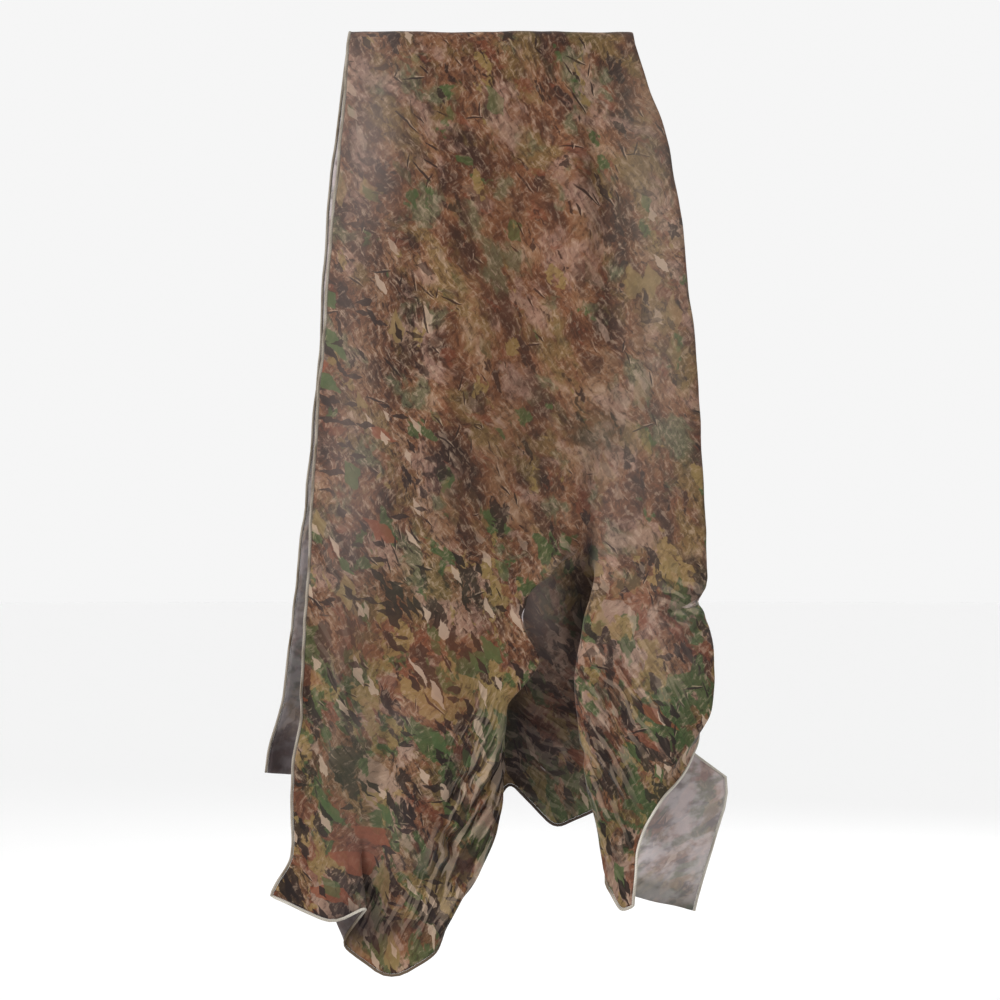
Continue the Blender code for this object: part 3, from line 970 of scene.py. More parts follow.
    def pleated(self) -> np.ndarray:
        """How strongly the fine creases of each run show at each point.

        Returns:
            One amount for each run, from 0 to 1.
        """
        amounts = np.zeros((*self.drops.shape, len(PleatRun)))
        for layer, places in PLEATED.items():
            on_layer = self.on_layer(layer)
            for place in places:
                here = np.exp(-(self.away(place) ** 2)) * on_layer
                amounts[..., place.run.value] += place.strength * here
        return np.clip(amounts, 0, 1)


class Cells(NamedTuple):
    """What is known at a place of the cell that it lies in."""

    chances: Sequence[Socket]  # three, each the same all over the cell
    distance: Socket  # from its middle
    local: Socket  # the way from its middle


class NodeTree:
    """Adds shader nodes to one tree and joins them."""

    def __init__(self, tree: bpy.types.NodeTree) -> None:
        """Works on this tree."""
        self.tree = tree

    def add(self, kind: str, settings: dict[str, object], **values: object) -> bpy.types.Node:
        """Adds a node.

        Args:
            kind: its type without the ShaderNode prefix.
            settings: its properties.
            values: its inputs by name, an underscore for a space; a socket is joined.

        Returns:
            The node.
        """
        node = self.tree.nodes.new("ShaderNode" + kind)
        for name, value in settings.items():
            setattr(node, name, value)
        for name, value in values.items():
            self.give(node.inputs[name.replace("_", " ")], value)
        return node

    def give(self, socket: Socket, value: object) -> None:
        """Joins a socket to another one, or sets its value.

        Args:
            socket: an input.
            value: for it, or the socket that it is joined to.
        """
        if isinstance(value, Socket):
            self.tree.links.new(value, socket)
        else:
            socket.default_value = value

    def maths(self, operation: str, *values: object, kind: str = "Math") -> Socket:
        """The result of a Math node, or a VectorMath one, on these values.

        Args:
            operation: what it does.
            values: numbers or sockets.
            kind: Math or VectorMath.

        Returns:
            The result.
        """
        node = self.add(kind, {"operation": operation})
        for socket, value in zip(node.inputs, values):
            self.give(socket, value)
        return node.outputs[0]

    def times(self, first: object, second: object) -> Socket:
        """The product of two values."""
        return self.maths("MULTIPLY", first, second)

    def step(self, value: object, start: float, full: float, **ends: float) -> Socket:
        """A smooth step from 0 at the start to 1 at the full value, or between other ends.

        Args:
            value: the number that it reads.
            start: where it leaves 0.
            full: where it reaches 1.
            ends: To_Min and To_Max, if they aren't 0 and 1.

        Returns:
            The step's height.
        """
        limits = {"From_Min": start, "From_Max": full, **ends}
        settings = {"interpolation_type": "SMOOTHSTEP"}
        return self.add("MapRange", settings, Value=value, **limits).outputs["Result"]

    def attribute(self, name: str, output: str) -> Socket:
        """One output of a mesh attribute."""
        return self.add("Attribute", {"attribute_name": name}).outputs[output]

    def parts(self, kind: str, value: Socket) -> Sequence[Socket]:
        """The three parts of a colour ("Color") or of a vector ("XYZ")."""
        source = {"Color": "Color", "XYZ": "Vector"}[kind]
        return self.add("Separate" + kind, {}, **{source: value}).outputs

    def blend(self, amount: object, first: object, second: object, how: str = "MIX") -> Socket:
        """Two colours mixed.

        Args:
            amount: of the second.
            first: colour or socket.
            second: colour or socket.
            how: the blend type.

        Returns:
            The mixed colour.
        """
        node = self.add("Mix", {"data_type": "RGBA", "blend_type": how})
        for i, value in ((0, amount), (6, first), (7, second)):
            self.give(node.inputs[i], value)
        return node.outputs[2]

    def tint(self, ground: object, colour: object, mask: object, strength: object) -> Socket:
        """The ground with a dye laid on it where the mask is 1, at this strength."""
        return self.blend(self.times(mask, strength), ground, colour)

    def placed(
        self, coords: object, turn: float, scale: tuple[float, float], shift: float = 0.0
    ) -> Socket:
        """Coordinates turned and scaled on the flat cloth.

        Args:
            coords: the cloth's own coordinates in metres.
            turn: in degrees.
            scale: across and along, after the turn.
            shift: moves the pattern, so that layers differ.

        Returns:
            The new coordinates.
        """
        moved = {"Rotation": (0, 0, math.radians(turn)), "Location": (shift, 1.7 * shift, 0)}
        turned = self.add("Mapping", {}, Vector=coords, **moved).outputs[0]
        return self.add("Mapping", {}, Vector=turned, Scale=(*scale, 1)).outputs[0]

    def ramp(self, value: object, stops: Sequence[tuple[float, Dye]]) -> Socket:
        """A colour for each value: the stops are places from 0 to 1 and their colours.

        Args:
            value: from 0 to 1.
            stops: places from 0 to 1 and their colours.

        Returns:
            The colour.
        """
        node = self.add("ValToRGB", {}, Fac=value)
        elements = node.color_ramp.elements
        while len(elements) < len(stops):
            elements.new(1.0)
        for element, (place, colour) in zip(elements, stops):
            element.position, element.color = place, colour
        return node.outputs["Color"]

    def warped(self, coords: object, scale: float, amount: float) -> Socket:
        """The coordinates moved a little this way and that, so that edges look brushed.

        Args:
            coords: the coordinates.
            scale: waves to the metre.
            amount: the largest move.

        Returns:
            The new coordinates.
        """
        flat = {"noise_dimensions": "2D"}
        wave = self.add("TexNoise", flat, Vector=coords, Scale=scale, Detail=3.0)
        values = wave.outputs["Color"], (amount, amount, 0), coords
        return self.maths("MULTIPLY_ADD", *values, kind="VectorMath")

    def cells(self, coords: object, metric: str = "EUCLIDEAN") -> Cells:
        """Uneven cells, one to each unit of these coordinates, by one measure of distance.

        Args:
            coords: the coordinates.
            metric: the measure of distance.

        Returns:
            What is known of the cell at each place.
        """
        settings = {"voronoi_dimensions": "2D", "distance": metric}
        node = self.add("TexVoronoi", settings, Vector=coords, Scale=1.0, Randomness=0.9)
        local = self.maths("SUBTRACT", coords, node.outputs["Position"], kind="VectorMath")
        chances = self.parts("Color", node.outputs["Color"])
        return Cells(chances, node.outputs["Distance"], local)

    def cloudy(self, coords: object, detail: float = 3.0, roughness: float = 0.55) -> Socket:
        """An even noise between 0 and 1 at these coordinates.

        Args:
            coords: the coordinates.
            detail: how many finer waves it has.
            roughness: how strong they are.

        Returns:
            The noise.
        """
        values = {"Scale": 1.0, "Detail": detail, "Roughness": roughness}
        node = self.add("TexNoise", {"noise_dimensions": "2D"}, Vector=coords, **values)
        return node.outputs["Fac"]


class Finish(NodeTree):
    """One material's nodes."""

    def __init__(self, name: str, roughness: float, sheen: float) -> None:
        """Starts a material.

        Args:
            name: the material's name.
            roughness: of its shader.
            sheen: weight of the soft shine at grazing angles.
        """
        self.material = bpy.data.materials.new(name)
        self.material.use_nodes = True
        super().__init__(self.material.node_tree)
        self.shader = self.tree.nodes["Principled BSDF"]
        self.set("Roughness", roughness)
        self.set("Sheen Weight", sheen)
        self.set("Specular IOR Level", 0.25)

    def set(self, name: str, value: object) -> None:
        """Sets one of the shader's own sockets, or joins another socket to it."""
        self.give(self.shader.inputs[name], value)

    def dress(self, colour: object, *reliefs: tuple[object, float, float]) -> bpy.types.Material:
        """Joins colour and relief to the shader.

        Args:
            colour: of the surface.
            reliefs: heights from 0 to 1, each with its strength and the metres 1 stands for.

        Returns:
            The material.
        """
        self.set("Base Color", colour)
        under = {}
        for height, strength, distance in reliefs:
            values = {"Height": height, "Strength": strength, "Distance": distance}
            under = {"Normal": self.add("Bump", {}, **values, **under).outputs[0]}
        self.set("Normal", under["Normal"])
        return self.material


@dataclass(frozen=True)
class Twigs:
    """One scatter of twigs: a tapered stroke in each cell, with a pale side."""

    scale: float  # cells to the metre
    turn: float  # main direction, in degrees
    spread: float  # how far single ones turn from it
    half_length: float  # in cells
    half_width: float
    bow: float
    shift: float
    share: float  # of the cells that have one

    def draw(self, nodes: NodeTree, coords: object) -> tuple[Socket, Socket]:
        """The twigs' masks.

        Args:
            nodes: the material's nodes.
            coords: the cloth's own coordinates.

        Returns:
            The dark stroke and its pale side, from 0 to 1.
        """
        cells = nodes.cells(nodes.placed(coords, self.turn, (self.scale, self.scale), self.shift))
        spread = math.radians(self.spread)
        angle = nodes.maths("MULTIPLY_ADD", cells.chances[0], 2 * spread, -spread)
        about = {"rotation_type": "Z_AXIS"}
        turned = nodes.add("VectorRotate", about, Vector=cells.local, Angle=angle)
        x, y, _ = nodes.parts("XYZ", turned.outputs[0])
        bow = nodes.maths("MULTIPLY_ADD", cells.chances[1], 2 * self.bow, -self.bow)
        y = nodes.maths("MULTIPLY_ADD", nodes.times(x, x), bow, y)
        out = nodes.maths("DIVIDE", nodes.maths("ABSOLUTE", x), self.half_length)
        here = nodes.step(cells.chances[2], 1 - self.share, 1.01 - self.share)
        reach = nodes.times(nodes.step(out, 1.0, 0.8), here)
        wide = nodes.maths("MULTIPLY_ADD", out, -0.75 * self.half_width, self.half_width)
        aside = nodes.maths("DIVIDE", y, wide)
        dark = nodes.step(nodes.maths("ABSOLUTE", aside), 1.1, 0.7)
        beside = nodes.maths("ABSOLUTE", nodes.maths("SUBTRACT", aside, 1.7))
        half = nodes.times(reach, nodes.step(x, 0.0, 0.2 * self.half_length))
        return nodes.times(dark, reach), nodes.times(nodes.step(beside, 0.8, 0.4), half)


@dataclass(frozen=True)
class Dabs:
    """One scatter of small leaf-like dabs: some of the cells of the cloth take the dye."""

    colour: Dye
    turn: float
    scale: tuple[float, float]
    share: float
    strength: float
    shift: float

    def lay(self, nodes: NodeTree, coords: object, busy: object, ground: object) -> Socket:
        """The ground with these dabs on it.

        Args:
            nodes: the material's nodes.
            coords: the cloth's own coordinates.
            busy: how strongly small shapes show at a place.
            ground: the colour under them.

        Returns:
            The new colour.
        """
        cells = nodes.cells(nodes.placed(coords, self.turn, self.scale, self.shift), "MANHATTAN")
        here = nodes.step(cells.chances[0], 1 - self.share, 1.01 - self.share)
        reach = nodes.maths("MULTIPLY_ADD", cells.chances[1], 0.35, 0.35)
        cut = nodes.step(nodes.maths("SUBTRACT", cells.distance, reach), 0.05, -0.05)
        strength = nodes.times(busy, self.strength)
        return nodes.tint(ground, self.colour, nodes.times(here, cut), strength)


@dataclass(frozen=True)
class Patches:
    """One scatter of blotches in one dye, brushed in one direction."""

    colour: Dye
    turn: float
    scale: tuple[float, float]
    start: float  # of the noise, where a blotch begins
    full: float
    strength: float
    shift: float
    low_gain: float = 0.0  # how much more of it lies in the lower half of a panel

    def lay(self, nodes: NodeTree, coords: object, low: object, ground: object) -> Socket:
        """The ground with these blotches on it.

        Args:
            nodes: the material's nodes.
            coords: the cloth's own coordinates.
            low: 1 in the lower half of a panel, 0 in the upper.
            ground: the colour under them.

        Returns:
            The new colour.
        """
        value = nodes.cloudy(nodes.placed(coords, self.turn, self.scale, self.shift), 4.0, 0.6)
        value = nodes.maths("MULTIPLY_ADD", low, self.low_gain, value)
        return nodes.tint(
            ground, self.colour, nodes.step(value, self.start, self.full), self.strength
        )


class Fibres(NamedTuple):
    """One direction of fine strokes in the print."""

    turn: float  # in degrees
    scale: tuple[float, float]
    dark: float
    pale: float


class Pleats(NamedTuple):
    """One run of fine creases, drawn into the cloth's relief, with painted shade in their troughs
    and painted highlights on their crests.
    """

    turn: float  # across the cloth, in degrees
    scale: tuple[float, float]  # along and across the creases, to the metre
    shift: float


class Reverse(NamedTuple):
    """How the print fades on the cloth's reverse, in uneven clouds."""

    thread: Dye
    turn: float
    scale: tuple[float, float]
    shift: float
    start: float  # of the noise, where it begins to fade more
    full: float
    least: float  # share of the thread's colour
    more: float


@dataclass(frozen=True)
class PrintedMesh:
    """The net's printed face, or its paler reverse."""

    name: str
    # light: the dye of the pale places, for paler print and for painted light
    light: Dye = dye(158, 141, 136)
    reverse: Reverse | None = None
    roughness: float = 0.82
    sheen: float = 0.12
    weave_pitch: float = 0.0016
    weave_relief: tuple[float, float] = (0.35, 0.0004)  # strength and height
    pleat_relief: tuple[float, float] = (0.9, 0.006)
    contrast: float = 1.2  # power that deepens the whole print
    lift: float = 1.44  # what brings its middle tones back
    low_half: tuple[float, float] = (0.75, 1.15)  # metres from the crest
    # the print's dark and pale, which the fine creases also lay on as painted shade and painted
    # highlights
    dark_dye: Dye = dye(36, 22, 17)
    pale_dye: Dye = dye(168, 148, 130)
    rust: tuple[Dye, float] = (dye(122, 72, 42), 0.5)  # soft places: dye and strength
    green: tuple[Dye, float] = (dye(70, 84, 54), 0.6)
    shade: tuple[Dye, float] = (dye(35, 25, 29), 0.85)
    holes: tuple[Dye, float] = (dye(30, 24, 20), 0.18)
    ground: tuple[tuple[float, Dye], ...] = (
        (0.30, dye(44, 26, 18)),
        (0.42, dye(80, 51, 34)),
        (0.52, dye(106, 72, 49)),
        (0.62, dye(120, 90, 66)),
        (0.74, dye(140, 116, 96)),
    )
    haze: tuple[Patches, ...] = (
        Patches(dye(106, 90, 54), 58, (7, 11), 0.52, 0.64, 0.65, 11.3),
        Patches(dye(88, 92, 70), 70, (8, 12), 0.56, 0.66, 0.75, 23.9),
        Patches(dye(142, 116, 104), 40, (8, 13), 0.54, 0.66, 0.65, 31.7),
        Patches(dye(60, 38, 28), 64, (7, 13), 0.56, 0.67, 0.70, 83.1),
    )
    patches: tuple[Patches, ...] = (
        Patches(dye(112, 68, 46), 52, (6, 9), 0.71, 0.74, 0.60, 91.3, 0.16),
        Patches(dye(146, 124, 110), 58, (5, 9), 0.71, 0.74, 0.75, 35.5, 0.16),
        Patches(dye(62, 78, 44), 66, (6, 10), 0.71, 0.73, 0.85, 13.7, 0.16),
        Patches(dye(132, 110, 72), 38, (6, 9), 0.72, 0.74, 0.80, 64.9, 0.16),
        Patches(dye(62, 80, 44), 60, (9, 14), 0.66, 0.70, 0.85, 37.1, 0.10),
        Patches(dye(104, 58, 38), 40, (10, 18), 0.65, 0.69, 0.60, 5.7, 0.06),
        Patches(dye(124, 105, 66), 70, (10, 17), 0.67, 0.70, 0.80, 51.3, 0.08),
        Patches(dye(38, 23, 18), 66, (10, 24), 0.64, 0.67, 0.85, 71.9, 0.07),
    )
    dabs: tuple[Dabs, ...] = (
        Dabs(dye(122, 70, 46), 30, (12, 28), 0.06, 0.75, 61.7),
        Dabs(dye(132, 113, 76), 80, (16, 34), 0.05, 0.70, 17.9),
        Dabs(dye(70, 88, 52), 55, (18, 40), 0.07, 0.85, 6.1),
        Dabs(dye(166, 147, 130), 65, (24, 70), 0.08, 0.80, 29.3),
        Dabs(dye(32, 19, 15), 60, (26, 74), 0.10, 0.90, 43.7),
        Dabs(dye(36, 22, 17), 10, (30, 90), 0.07, 0.85, 95.1),
    )
    twigs: tuple[Twigs, ...] = (
        Twigs(11.0, 62, 24, 0.40, 0.026, 0.15, 2.3, 0.45),
        Twigs(17.0, 20, 40, 0.36, 0.036, 0.20, 9.1, 0.35),
        Twigs(26.0, 70, 40, 0.36, 0.050, 0.20, 15.7, 0.45),
    )
    fibres: tuple[Fibres, ...] = (
        Fibres(60, (45, 150), 0.75, 0.55),
        Fibres(-50, (60, 130), 0.50, 0.35),
    )
    pleats: tuple[Pleats, ...] = (
        Pleats(-66, (12, 105), 3.7),
        Pleats(58, (14, 100), 14.9),
        Pleats(28, (22, 90), 27.3),
    )

    def printed(self, nodes: NodeTree, coords: object, busier: object) -> Socket:
        """The print's colour: a soft ground, fibres, blotches, dabs and twigs.

        Args:
            nodes: the material's nodes.
            coords: the cloth's own coordinates.
            busier: where small shapes show more strongly.

        Returns:
            The colour.
        """
        along = nodes.parts("XYZ", coords)[1]
        low = nodes.step(nodes.maths("ABSOLUTE", along), *self.low_half)
        uneven = nodes.cloudy(nodes.placed(coords, 20, (2.2, 1.6), 8.7), 2.0)
        uneven = nodes.maths("MULTIPLY_ADD", low, 0.22, uneven)
        busy = nodes.maths("MULTIPLY_ADD", nodes.step(uneven, 0.44, 0.64), 0.88, 0.12)
        busy = nodes.maths("MINIMUM", nodes.maths("ADD", busy, busier), 1.0)
        crisp = nodes.maths("MULTIPLY_ADD", busy, 0.35, 0.65)
        soft = nodes.warped(coords, 28, 0.008)
        coords = nodes.warped(nodes.warped(soft, 5, 0.05), 90, 0.006)
        clouds = nodes.cloudy(nodes.placed(coords, 60, (9, 14)), 5.0, 0.62)
        ground = nodes.ramp(clouds, self.ground)
        for patches, fibres in zip((self.haze, self.patches), self.fibres):
            for dye_laid in patches:
                ground = dye_laid.lay(nodes, coords, low, ground)
            ground = self.fibrous(nodes, coords, crisp, ground, fibres)
        for dabs in self.dabs:
            ground = dabs.lay(nodes, coords, busy, ground)
        tufts = nodes.step(nodes.cloudy(nodes.placed(coords, 35, (11, 8), 53.9), 2.0), 0.50, 0.60)
        for twigs in self.twigs:
            dark, pale = (nodes.times(mask, tufts) for mask in twigs.draw(nodes, soft))
            ground = nodes.tint(ground, self.pale_dye, pale, 0.5)
            ground = nodes.tint(ground, self.dark_dye, dark, 0.9)
        deep = nodes.add("Gamma", {}, Color=ground, Gamma=self.contrast).outputs[0]
        return nodes.blend(1.0, deep, (self.lift, self.lift, self.lift, 1.0), "MULTIPLY")

    def fibrous(
        self, nodes: NodeTree, coords: object, crisp: object, ground: object, fibres: Fibres
    ) -> Socket:
        """The ground with fine dark and pale strokes brushed over it.

        Args:
            nodes: the material's nodes.
            coords: the cloth's own coordinates.
            crisp: how strongly the strokes show at a place.
            ground: the colour under them.
            fibres: the strokes' direction, scale and strength.

        Returns:
            The new colour.
        """
        value = nodes.cloudy(nodes.placed(coords, fibres.turn, fibres.scale), 3.0, 0.65)
        dark = nodes.times(nodes.step(value, 0.48, 0.29), fibres.dark)
        pale = nodes.times(nodes.step(value, 0.53, 0.72), fibres.pale)
        ground = nodes.tint(ground, self.dark_dye, dark, crisp)
        return nodes.tint(ground, self.pale_dye, pale, crisp)

    def faded(self, nodes: NodeTree, coords: object, colour: object) -> Socket:
        """The print as it shows through on the reverse.

        Args:
            nodes: the material's nodes.
            coords: the cloth's own coordinates.
            colour: the print.

        Returns:
            The faded colour.
        """
        fade = self.reverse
        clouds = nodes.cloudy(nodes.placed(coords, fade.turn, fade.scale, fade.shift))
        clouds = nodes.step(clouds, fade.start, fade.full)
        amount = nodes.maths("MULTIPLY_ADD", clouds, fade.more, fade.least)
        return nodes.blend(amount, colour, fade.thread)

    def material(self) -> bpy.types.Material:
        """Makes the material.

        Returns:
            The material, ready to use.
        """
        nodes = Finish(self.name, self.roughness, self.sheen)
        coords = nodes.add("UVMap", {"uv_map": "cloth"}).outputs[0]
        # pale is paler print and painted light; dark, laid in the shade's dye, is painted shade
        pale, green, dark = nodes.parts("Color", nodes.attribute("tone", "Color"))
        colour = self.printed(nodes, coords, nodes.attribute("tone", "Alpha"))
        colour = nodes.tint(colour, self.rust[0], nodes.attribute("pleats", "Alpha"), self.rust[1])
        if self.reverse:
            colour = self.faded(nodes, coords, colour)
        colour = nodes.tint(colour, self.green[0], green, self.green[1])
        colour = nodes.tint(colour, self.light, pale, 0.8)
        colour = nodes.tint(colour, self.shade[0], dark, self.shade[1])
        colour, creases = self.creased(nodes, coords, colour)
        weave = self.weave(nodes, coords)
        colour = nodes.tint(colour, self.holes[0], weave, self.holes[1])
        threads = nodes.maths("SUBTRACT", 1.0, weave)
        return nodes.dress(colour, (threads, *self.weave_relief), (creases, *self.pleat_relief))

    def creased(
        self, nodes: NodeTree, coords: object, colour: object
    ) -> tuple[Socket, Socket]:
        """The fine creases: painted shade in their troughs and painted highlights on their crests,
        with their relief.

        Args:
            nodes: the material's nodes.
            coords: the cloth's own coordinates.
            colour: the print without them.

        Returns:
            The new colour and the creases' height.
        """
        runs = nodes.parts("Color", nodes.attribute("pleats", "Color"))
        coords = nodes.warped(coords, 12, 0.018)
        height = 0.0
        for pleats, run in zip(self.pleats, runs):
            rough = nodes.cloudy(nodes.placed(coords, *pleats), 1.5, 0.5)
            crest = nodes.step(rough, 0.36, 0.62)
            low = nodes.times(nodes.step(crest, 0.5, 0.0), run)
            high = nodes.times(nodes.step(crest, 0.7, 1.0), run)
            # painted shade along the troughs and painted highlights along the crests
            colour = nodes.tint(colour, self.dark_dye, low, 0.75)
            colour = nodes.tint(colour, self.pale_dye, high, 0.50)
            height = nodes.maths("MULTIPLY_ADD", crest, run, height)
        return colour, height

    def weave(self, nodes: NodeTree, coords: object) -> Socket:
        """1 in the mesh's small holes and 0 on its threads.

        Args:
            nodes: the material's nodes.
            coords: the cloth's own coordinates.

        Returns:
            The mask.
        """
        pitch = 1 / self.weave_pitch
        even = {"Scale": 1.0, "Randomness": 0.12}
        placed = nodes.placed(coords, 45, (pitch, pitch))
        cells = nodes.add("TexVoronoi", {"voronoi_dimensions": "2D"}, Vector=placed, **even)
        return nodes.step(cells.outputs["Distance"], 0.38, 0.16)


@dataclass(frozen=True)
class EdgingThread:
    """The off-white overlock thread, mottled brown, with painted shade darkening it where it runs
    into the folds.
    """

    name: str = "edging_thread"
    roughness: float = 0.9
    sheen: float = 0.15
    stitch: float = 0.0028  # along the edge
    slant: float = 1.5  # stitches that one loop leans by
    relief: tuple[float, float] = (0.6, 0.0006)  # strength and height
    worn: Dye = dye(176, 168, 156)
    clean: Dye = dye(212, 206, 194)
    # the brown that it turns to, mottled and as painted shade in the folds, then the painted shade
    # deep in the folds
    stained_and_shaded: Dye = dye(98, 82, 64)
    dark: Dye = dye(50, 38, 33)
    gaps: tuple[Dye, float] = (dye(96, 84, 70), 0.35)

    def material(self) -> bpy.types.Material:
        """Makes the material.

        Returns:
            The material, ready to use.
        """
        nodes = Finish(self.name, self.roughness, self.sheen)
        coords = nodes.add("UVMap", {"uv_map": "thread"}).outputs[0]
        along, round_it, _ = nodes.parts("XYZ", coords)
        along = nodes.maths("DIVIDE", along, self.stitch)
        along = nodes.maths("MULTIPLY_ADD", round_it, self.slant, along)
        loops = nodes.maths("SINE", nodes.times(along, math.tau))
        loops = nodes.maths("MULTIPLY_ADD", loops, 0.5, 0.5)
        wear = nodes.cloudy(nodes.placed(coords, 0, (22, 2)))
        colour = nodes.blend(nodes.step(wear, 0.35, 0.7), self.worn, self.clean)
        # painted shade: where it runs into the folds the thread turns brown, and past 1 dark
        stain_and_shade = nodes.attribute("stain_and_shade", "Fac")
        uneven = nodes.maths("MULTIPLY_ADD", wear, 0.8, nodes.maths("SUBTRACT", stain_and_shade, 0.4))
        colour = nodes.blend(nodes.step(uneven, 0.25, 0.75), colour, self.stained_and_shaded)
        colour = nodes.blend(nodes.step(stain_and_shade, 1.0, 1.5), colour, self.dark)
        between = nodes.maths("SUBTRACT", 1.0, loops)
        colour = nodes.tint(colour, self.gaps[0], between, self.gaps[1])
        return nodes.dress(colour, (loops, *self.relief))


def put(name: str, data: bpy.types.ID) -> bpy.types.Object:
    """Puts a mesh, a light or a camera into the scene as an object.

    Args:
        name: of the object.
        data: what it shows.

    Returns:
        The object.
    """
    thing = bpy.data.objects.new(name, data)
    bpy.context.collection.objects.link(thing)
    return thing


def add_piece(
    name: str, build: bmesh.types.BMesh, *materials: bpy.types.Material
) -> bpy.types.Object:
    """Puts a finished bmesh into the scene.

    Args:
        name: of the piece.
        build: its mesh, which is freed.
        materials: its materials in slot order.

    Returns:
        The piece.
    """
    mesh = bpy.data.meshes.new(name)
    build.to_mesh(mesh)
    build.free()
    for material in materials:
        mesh.materials.append(material)
    return put(name, mesh)


@dataclass
class Net:
    """The printed mesh: one thin sheet on the solid's folds."""

    surface: DrapedSurface
    thickness: float = 0.0007
    flat: tuple[float, float] = (1.1, 3.0)
    face: PrintedMesh = PrintedMesh("printed_mesh")
    back: PrintedMesh = PrintedMesh(
        "printed_mesh_reverse",
        light=dye(208, 196, 194),
        reverse=Reverse(dye(228, 218, 219), 15, (24, 30), 41.3, 0.38, 0.62, 0.26, 0.34),
    )

    def build(self) -> bpy.types.Object:
        """Returns:
            The piece.
        """
        rows, columns = self.surface.drops.shape
        build = bmesh.new()
        bmesh.ops.create_grid(build, x_segments=columns - 1, y_segments=rows - 1, size=1)
        self.drape(build, self.grid_order(build, rows, columns))
        sheet = add_piece("net_cloth", build, self.face.material(), self.back.material())
        sheet.data.shade_smooth()
        thick = sheet.modifiers.new("thickness", "SOLIDIFY")
        thick.thickness = self.thickness
        thick.offset = 0
        thick.material_offset = 1
        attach(sheet, "root")
        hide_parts("net")
        return sheet

    def grid_order(self, build: bmesh.types.BMesh, rows: int, columns: int) -> np.ndarray:
        """Each vertex's row and column, read from where the flat grid has it.

        Args:
            build: the flat grid.
            rows: how many it has.
            columns: how many it has.

        Returns:
            A row and a column for each vertex.
        """
        flat = np.array([vert.co[:2] for vert in build.verts])
        order = np.rint((flat + 1) / 2 * (columns - 1, rows - 1)).astype(int)
        return order[:, ::-1]

    def drape(self, build: bmesh.types.BMesh, order: np.ndarray) -> None:
        """Moves the flat grid onto the surface and gives it what its print and its painted shade
        and light read.

        Args:
            build: the flat grid.
            order: each vertex's row and column on the surface.
        """
        build.verts.index_update()
        coords = build.loops.layers.uv.new("cloth")
        tone = build.verts.layers.float_color.new("tone")
        pleat = build.verts.layers.float_color.new("pleats")
        tones, rust = self.surface.tones()
        pleats = self.surface.pleated()
        for vert, (r, c) in zip(build.verts, order):
            vert.co = self.surface.points[r, c]
            vert[tone] = tones[r, c]
            vert[pleat] = (*pleats[r, c], rust[r, c])
        for face in build.faces:
            for loop in face.loops:
                loop[coords].uv = self.surface.cloth[tuple(order[loop.vert.index])]


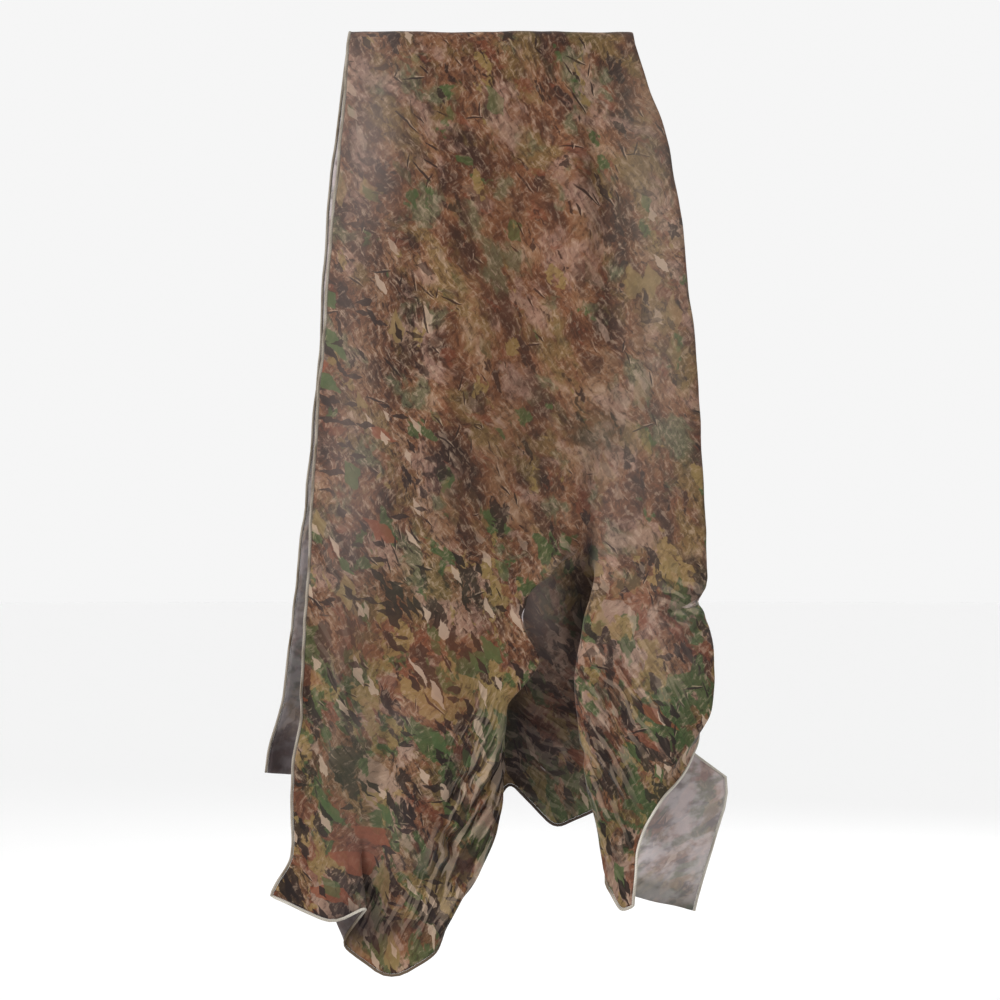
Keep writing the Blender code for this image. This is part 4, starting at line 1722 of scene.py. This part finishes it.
@dataclass
class Edging:
    """The overlocked thread along the left selvedge, the front hem and the right selvedge."""

    surface: DrapedSurface
    width: float = 0.0050
    thickness: float = 0.0032
    gap: float = 0.0002
    sides: int = 8
    smoothings: int = 4
    side_stains_and_shade: tuple[float, float] = (0.5, 0.05)  # left and right

    def path(self) -> tuple[np.ndarray, np.ndarray, np.ndarray]:
        """The cloth's edge, the way out of the cloth and how brown the thread is there, with
        painted shade where it runs into the folds.

        Returns:
            The three for each step along the edge.
        """
        points = self.surface.points
        across = unit(np.gradient(points, axis=1))
        along = unit(np.gradient(points, axis=0))
        left, left_out = points[::-1, 0], -across[::-1, 0]
        hem, hem_out = points[0, 1:-1], -along[0, 1:-1]
        right, right_out = points[:, -1], across[:, -1].copy()
        left_out[-1] = left_out[-1] - along[0, 0]
        right_out[0] = right_out[0] - along[0, -1]
        at_lines = [line_column(name) for name in HEM_STAINS_AND_SHADE]
        columns = np.arange(1, points.shape[1] - 1)
        hem_stain_and_shade = np.interp(columns, at_lines, list(HEM_STAINS_AND_SHADE.values()))
        left_stain_and_shade, right_stain_and_shade = (np.full(len(left), stain_and_shade) for stain_and_shade in self.side_stains_and_shade)
        outward = np.concatenate([left_out, hem_out, right_out])
        stains_and_shade = np.concatenate([left_stain_and_shade, hem_stain_and_shade, right_stain_and_shade])
        return np.concatenate([left, hem, right]), outward, stains_and_shade

    def build(self) -> bpy.types.Object:
        """Makes and dresses the cord: a ring of points at each step, joined and closed.

        Returns:
            The piece.
        """
        places, outward, stains_and_shade = self.path()
        tangent = unit(np.gradient(places, axis=0))
        for _ in range(self.smoothings):
            ends = np.pad(outward, ((1, 1), (0, 0)), mode="edge")
            outward = ends[:-2] + outward + ends[2:]
            outward = unit(outward - (outward * tangent).sum(axis=1, keepdims=True) * tangent)
        build = bmesh.new()
        stained_and_shaded = build.verts.layers.float.new("stain_and_shade")
        rings = []
        for place, out, up, stain_and_shade in zip(
            places, outward, unit(np.cross(tangent, outward)), stains_and_shade
        ):
            centre = place + out * (self.gap + self.width / 2)
            ring = []
            for turn in range(self.sides):
                a = math.tau * turn / self.sides
                aside = out * self.width / 2 * math.cos(a) + up * self.thickness / 2 * math.sin(a)
                ring.append(build.verts.new(centre + aside))
                ring[-1][stained_and_shaded] = stain_and_shade
            rings.append(ring)
        self.join(build, rings, places)
        cord = add_piece("edging_thread", build, EdgingThread().material())
        cord.data.shade_smooth()
        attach(cord, "root")
        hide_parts("edging")
        return cord

    def join(
        self,
        build: bmesh.types.BMesh,
        rings: Sequence[list[bmesh.types.BMVert]],
        places: np.ndarray,
    ) -> None:
        """Joins the rings, closes the ends and unrolls the thread's own coordinates.

        Args:
            build: the cord's mesh.
            rings: its vertices, ring by ring.
            places: the path that the rings follow.
        """
        along = np.pad(np.cumsum(np.linalg.norm(np.diff(places, axis=0), axis=1)), (1, 0))
        coords = build.loops.layers.uv.new("thread")
        for i, (first, second) in enumerate(zip(rings, rings[1:])):
            for side in range(self.sides):
                after = (side + 1) % self.sides
                face = build.faces.new((first[side], first[after], second[after], second[side]))
                corners = ((i, side), (i, side + 1), (i + 1, side + 1), (i + 1, side))
                for loop, (step, turn) in zip(face.loops, corners):
                    loop[coords].uv = (along[step], turn / self.sides)
        build.faces.new(rings[0][::-1])
        build.faces.new(rings[-1])
        bmesh.ops.recalc_face_normals(build, faces=build.faces)


class SoftLight(NamedTuple):
    """A square soft light that faces the net's middle."""

    name: str
    place: tuple[float, float, float]
    size: float
    watts: float


@dataclass
class Studio:
    """The pale floor, the soft lights and the camera."""

    distance: float = 6.0
    frame_width: float = 1.712  # metres seen across the picture at the net
    middle: tuple[float, float] = (0.0172, -0.802)  # x and z
    front: float = -0.07
    floor_height: float = -1.85
    floor_radius: float = 30.0
    floor_glow: float = 0.09
    key_from: tuple[float, float, float] = (-0.60, -0.47, 0.65)
    key_strength: float = 2.75
    key_softness: float = 22.0  # degrees that it spans
    wall_fades: tuple[float, float] = (0.18, 0.45)  # sine of the height, start and end
    wall_light: float = 0.92
    ceiling_light: float = 0.25
    soft_lights: tuple[SoftLight, ...] = (
        SoftLight("fill", (3.0, -3.4, -0.4), 3.0, 14),
        SoftLight("behind", (1.6, 3.4, 1.6), 3.0, 60),
    )

    def build(self) -> None:
        """Sets the stage."""
        self.floor()
        self.camera()
        self.sun()
        for light in self.soft_lights:
            self.light(light)
        self.walls()
        bpy.context.scene.view_settings.view_transform = "Standard"

    def walls(self) -> None:
        """Even bright walls round the studio under a dimmer ceiling."""
        world = bpy.data.worlds.new("studio")
        world.use_nodes = True
        nodes = NodeTree(world.node_tree)
        way = nodes.add("TexCoord", {}).outputs["Generated"]
        height = nodes.maths("ABSOLUTE", nodes.parts("XYZ", way)[2])
        ends = {"To_Min": self.wall_light, "To_Max": self.ceiling_light}
        background = world.node_tree.nodes["Background"]
        nodes.give(background.inputs["Strength"], nodes.step(height, *self.wall_fades, **ends))
        nodes.give(background.inputs["Color"], (1, 1, 1, 1))
        bpy.context.scene.world = world

    def sun(self) -> None:
        """The main light: large and soft, from the front's upper left."""
        data = bpy.data.lights.new("key", "SUN")
        data.energy = self.key_strength
        data.angle = math.radians(self.key_softness)
        towards = -Vector(self.key_from)
        put("key", data).rotation_euler = towards.to_track_quat("-Z", "Y").to_euler()

    def floor(self) -> None:
        """A wide plain floor under the hanging net."""
        build = bmesh.new()
        bmesh.ops.create_circle(build, cap_ends=True, segments=96, radius=self.floor_radius)
        bmesh.ops.translate(build, verts=build.verts, vec=(0, 0, self.floor_height))
        nodes = Finish("pale_floor", 0.9, 0.0)
        nodes.set("Base Color", (0.93, 0.93, 0.93, 1))
        nodes.set("Emission Color", (1, 1, 1, 1))
        nodes.set("Emission Strength", self.floor_glow)
        add_piece("floor", build, nodes.material)

    def camera(self) -> None:
        """Level with the net's middle, straight in front of it."""
        data = bpy.data.cameras.new("camera")
        data.sensor_width = 36
        data.lens = data.sensor_width * self.distance / self.frame_width
        data.clip_end = 100
        camera = put("camera", data)
        x, z = self.middle
        camera.location = (x, self.front - self.distance, z)
        camera.rotation_euler = (math.radians(90), 0, 0)
        bpy.context.scene.camera = camera

    def light(self, soft: SoftLight) -> None:
        """Sets up one of the soft lights.

        Args:
            soft: where it stands and how strong it is.
        """
        data = bpy.data.lights.new(soft.name, "AREA")
        data.size = soft.size
        data.energy = soft.watts
        light = put(soft.name, data)
        light.location = soft.place
        aim = Vector((self.middle[0], 0, self.middle[1])) - light.location
        light.rotation_euler = aim.to_track_quat("-Z", "Y").to_euler()


def main() -> None:
    """Builds the net's pieces in order and sets the stage."""
    logging.basicConfig(level=logging.INFO, format="%(name)s: %(message)s")
    surface = DrapedSurface()
    surface.build()
    LOG.info("surface: %d rows of %d points", *surface.drops.shape)
    net = Net(surface)
    cloth = net.build()
    LOG.info("net: %d faces", len(cloth.data.polygons))
    edging = Edging(surface).build()
    LOG.info("edging: %d faces", len(edging.data.polygons))
    Studio().build()
    LOG.info("studio: camera, lights and floor")


if __name__ == "__main__":
    main()
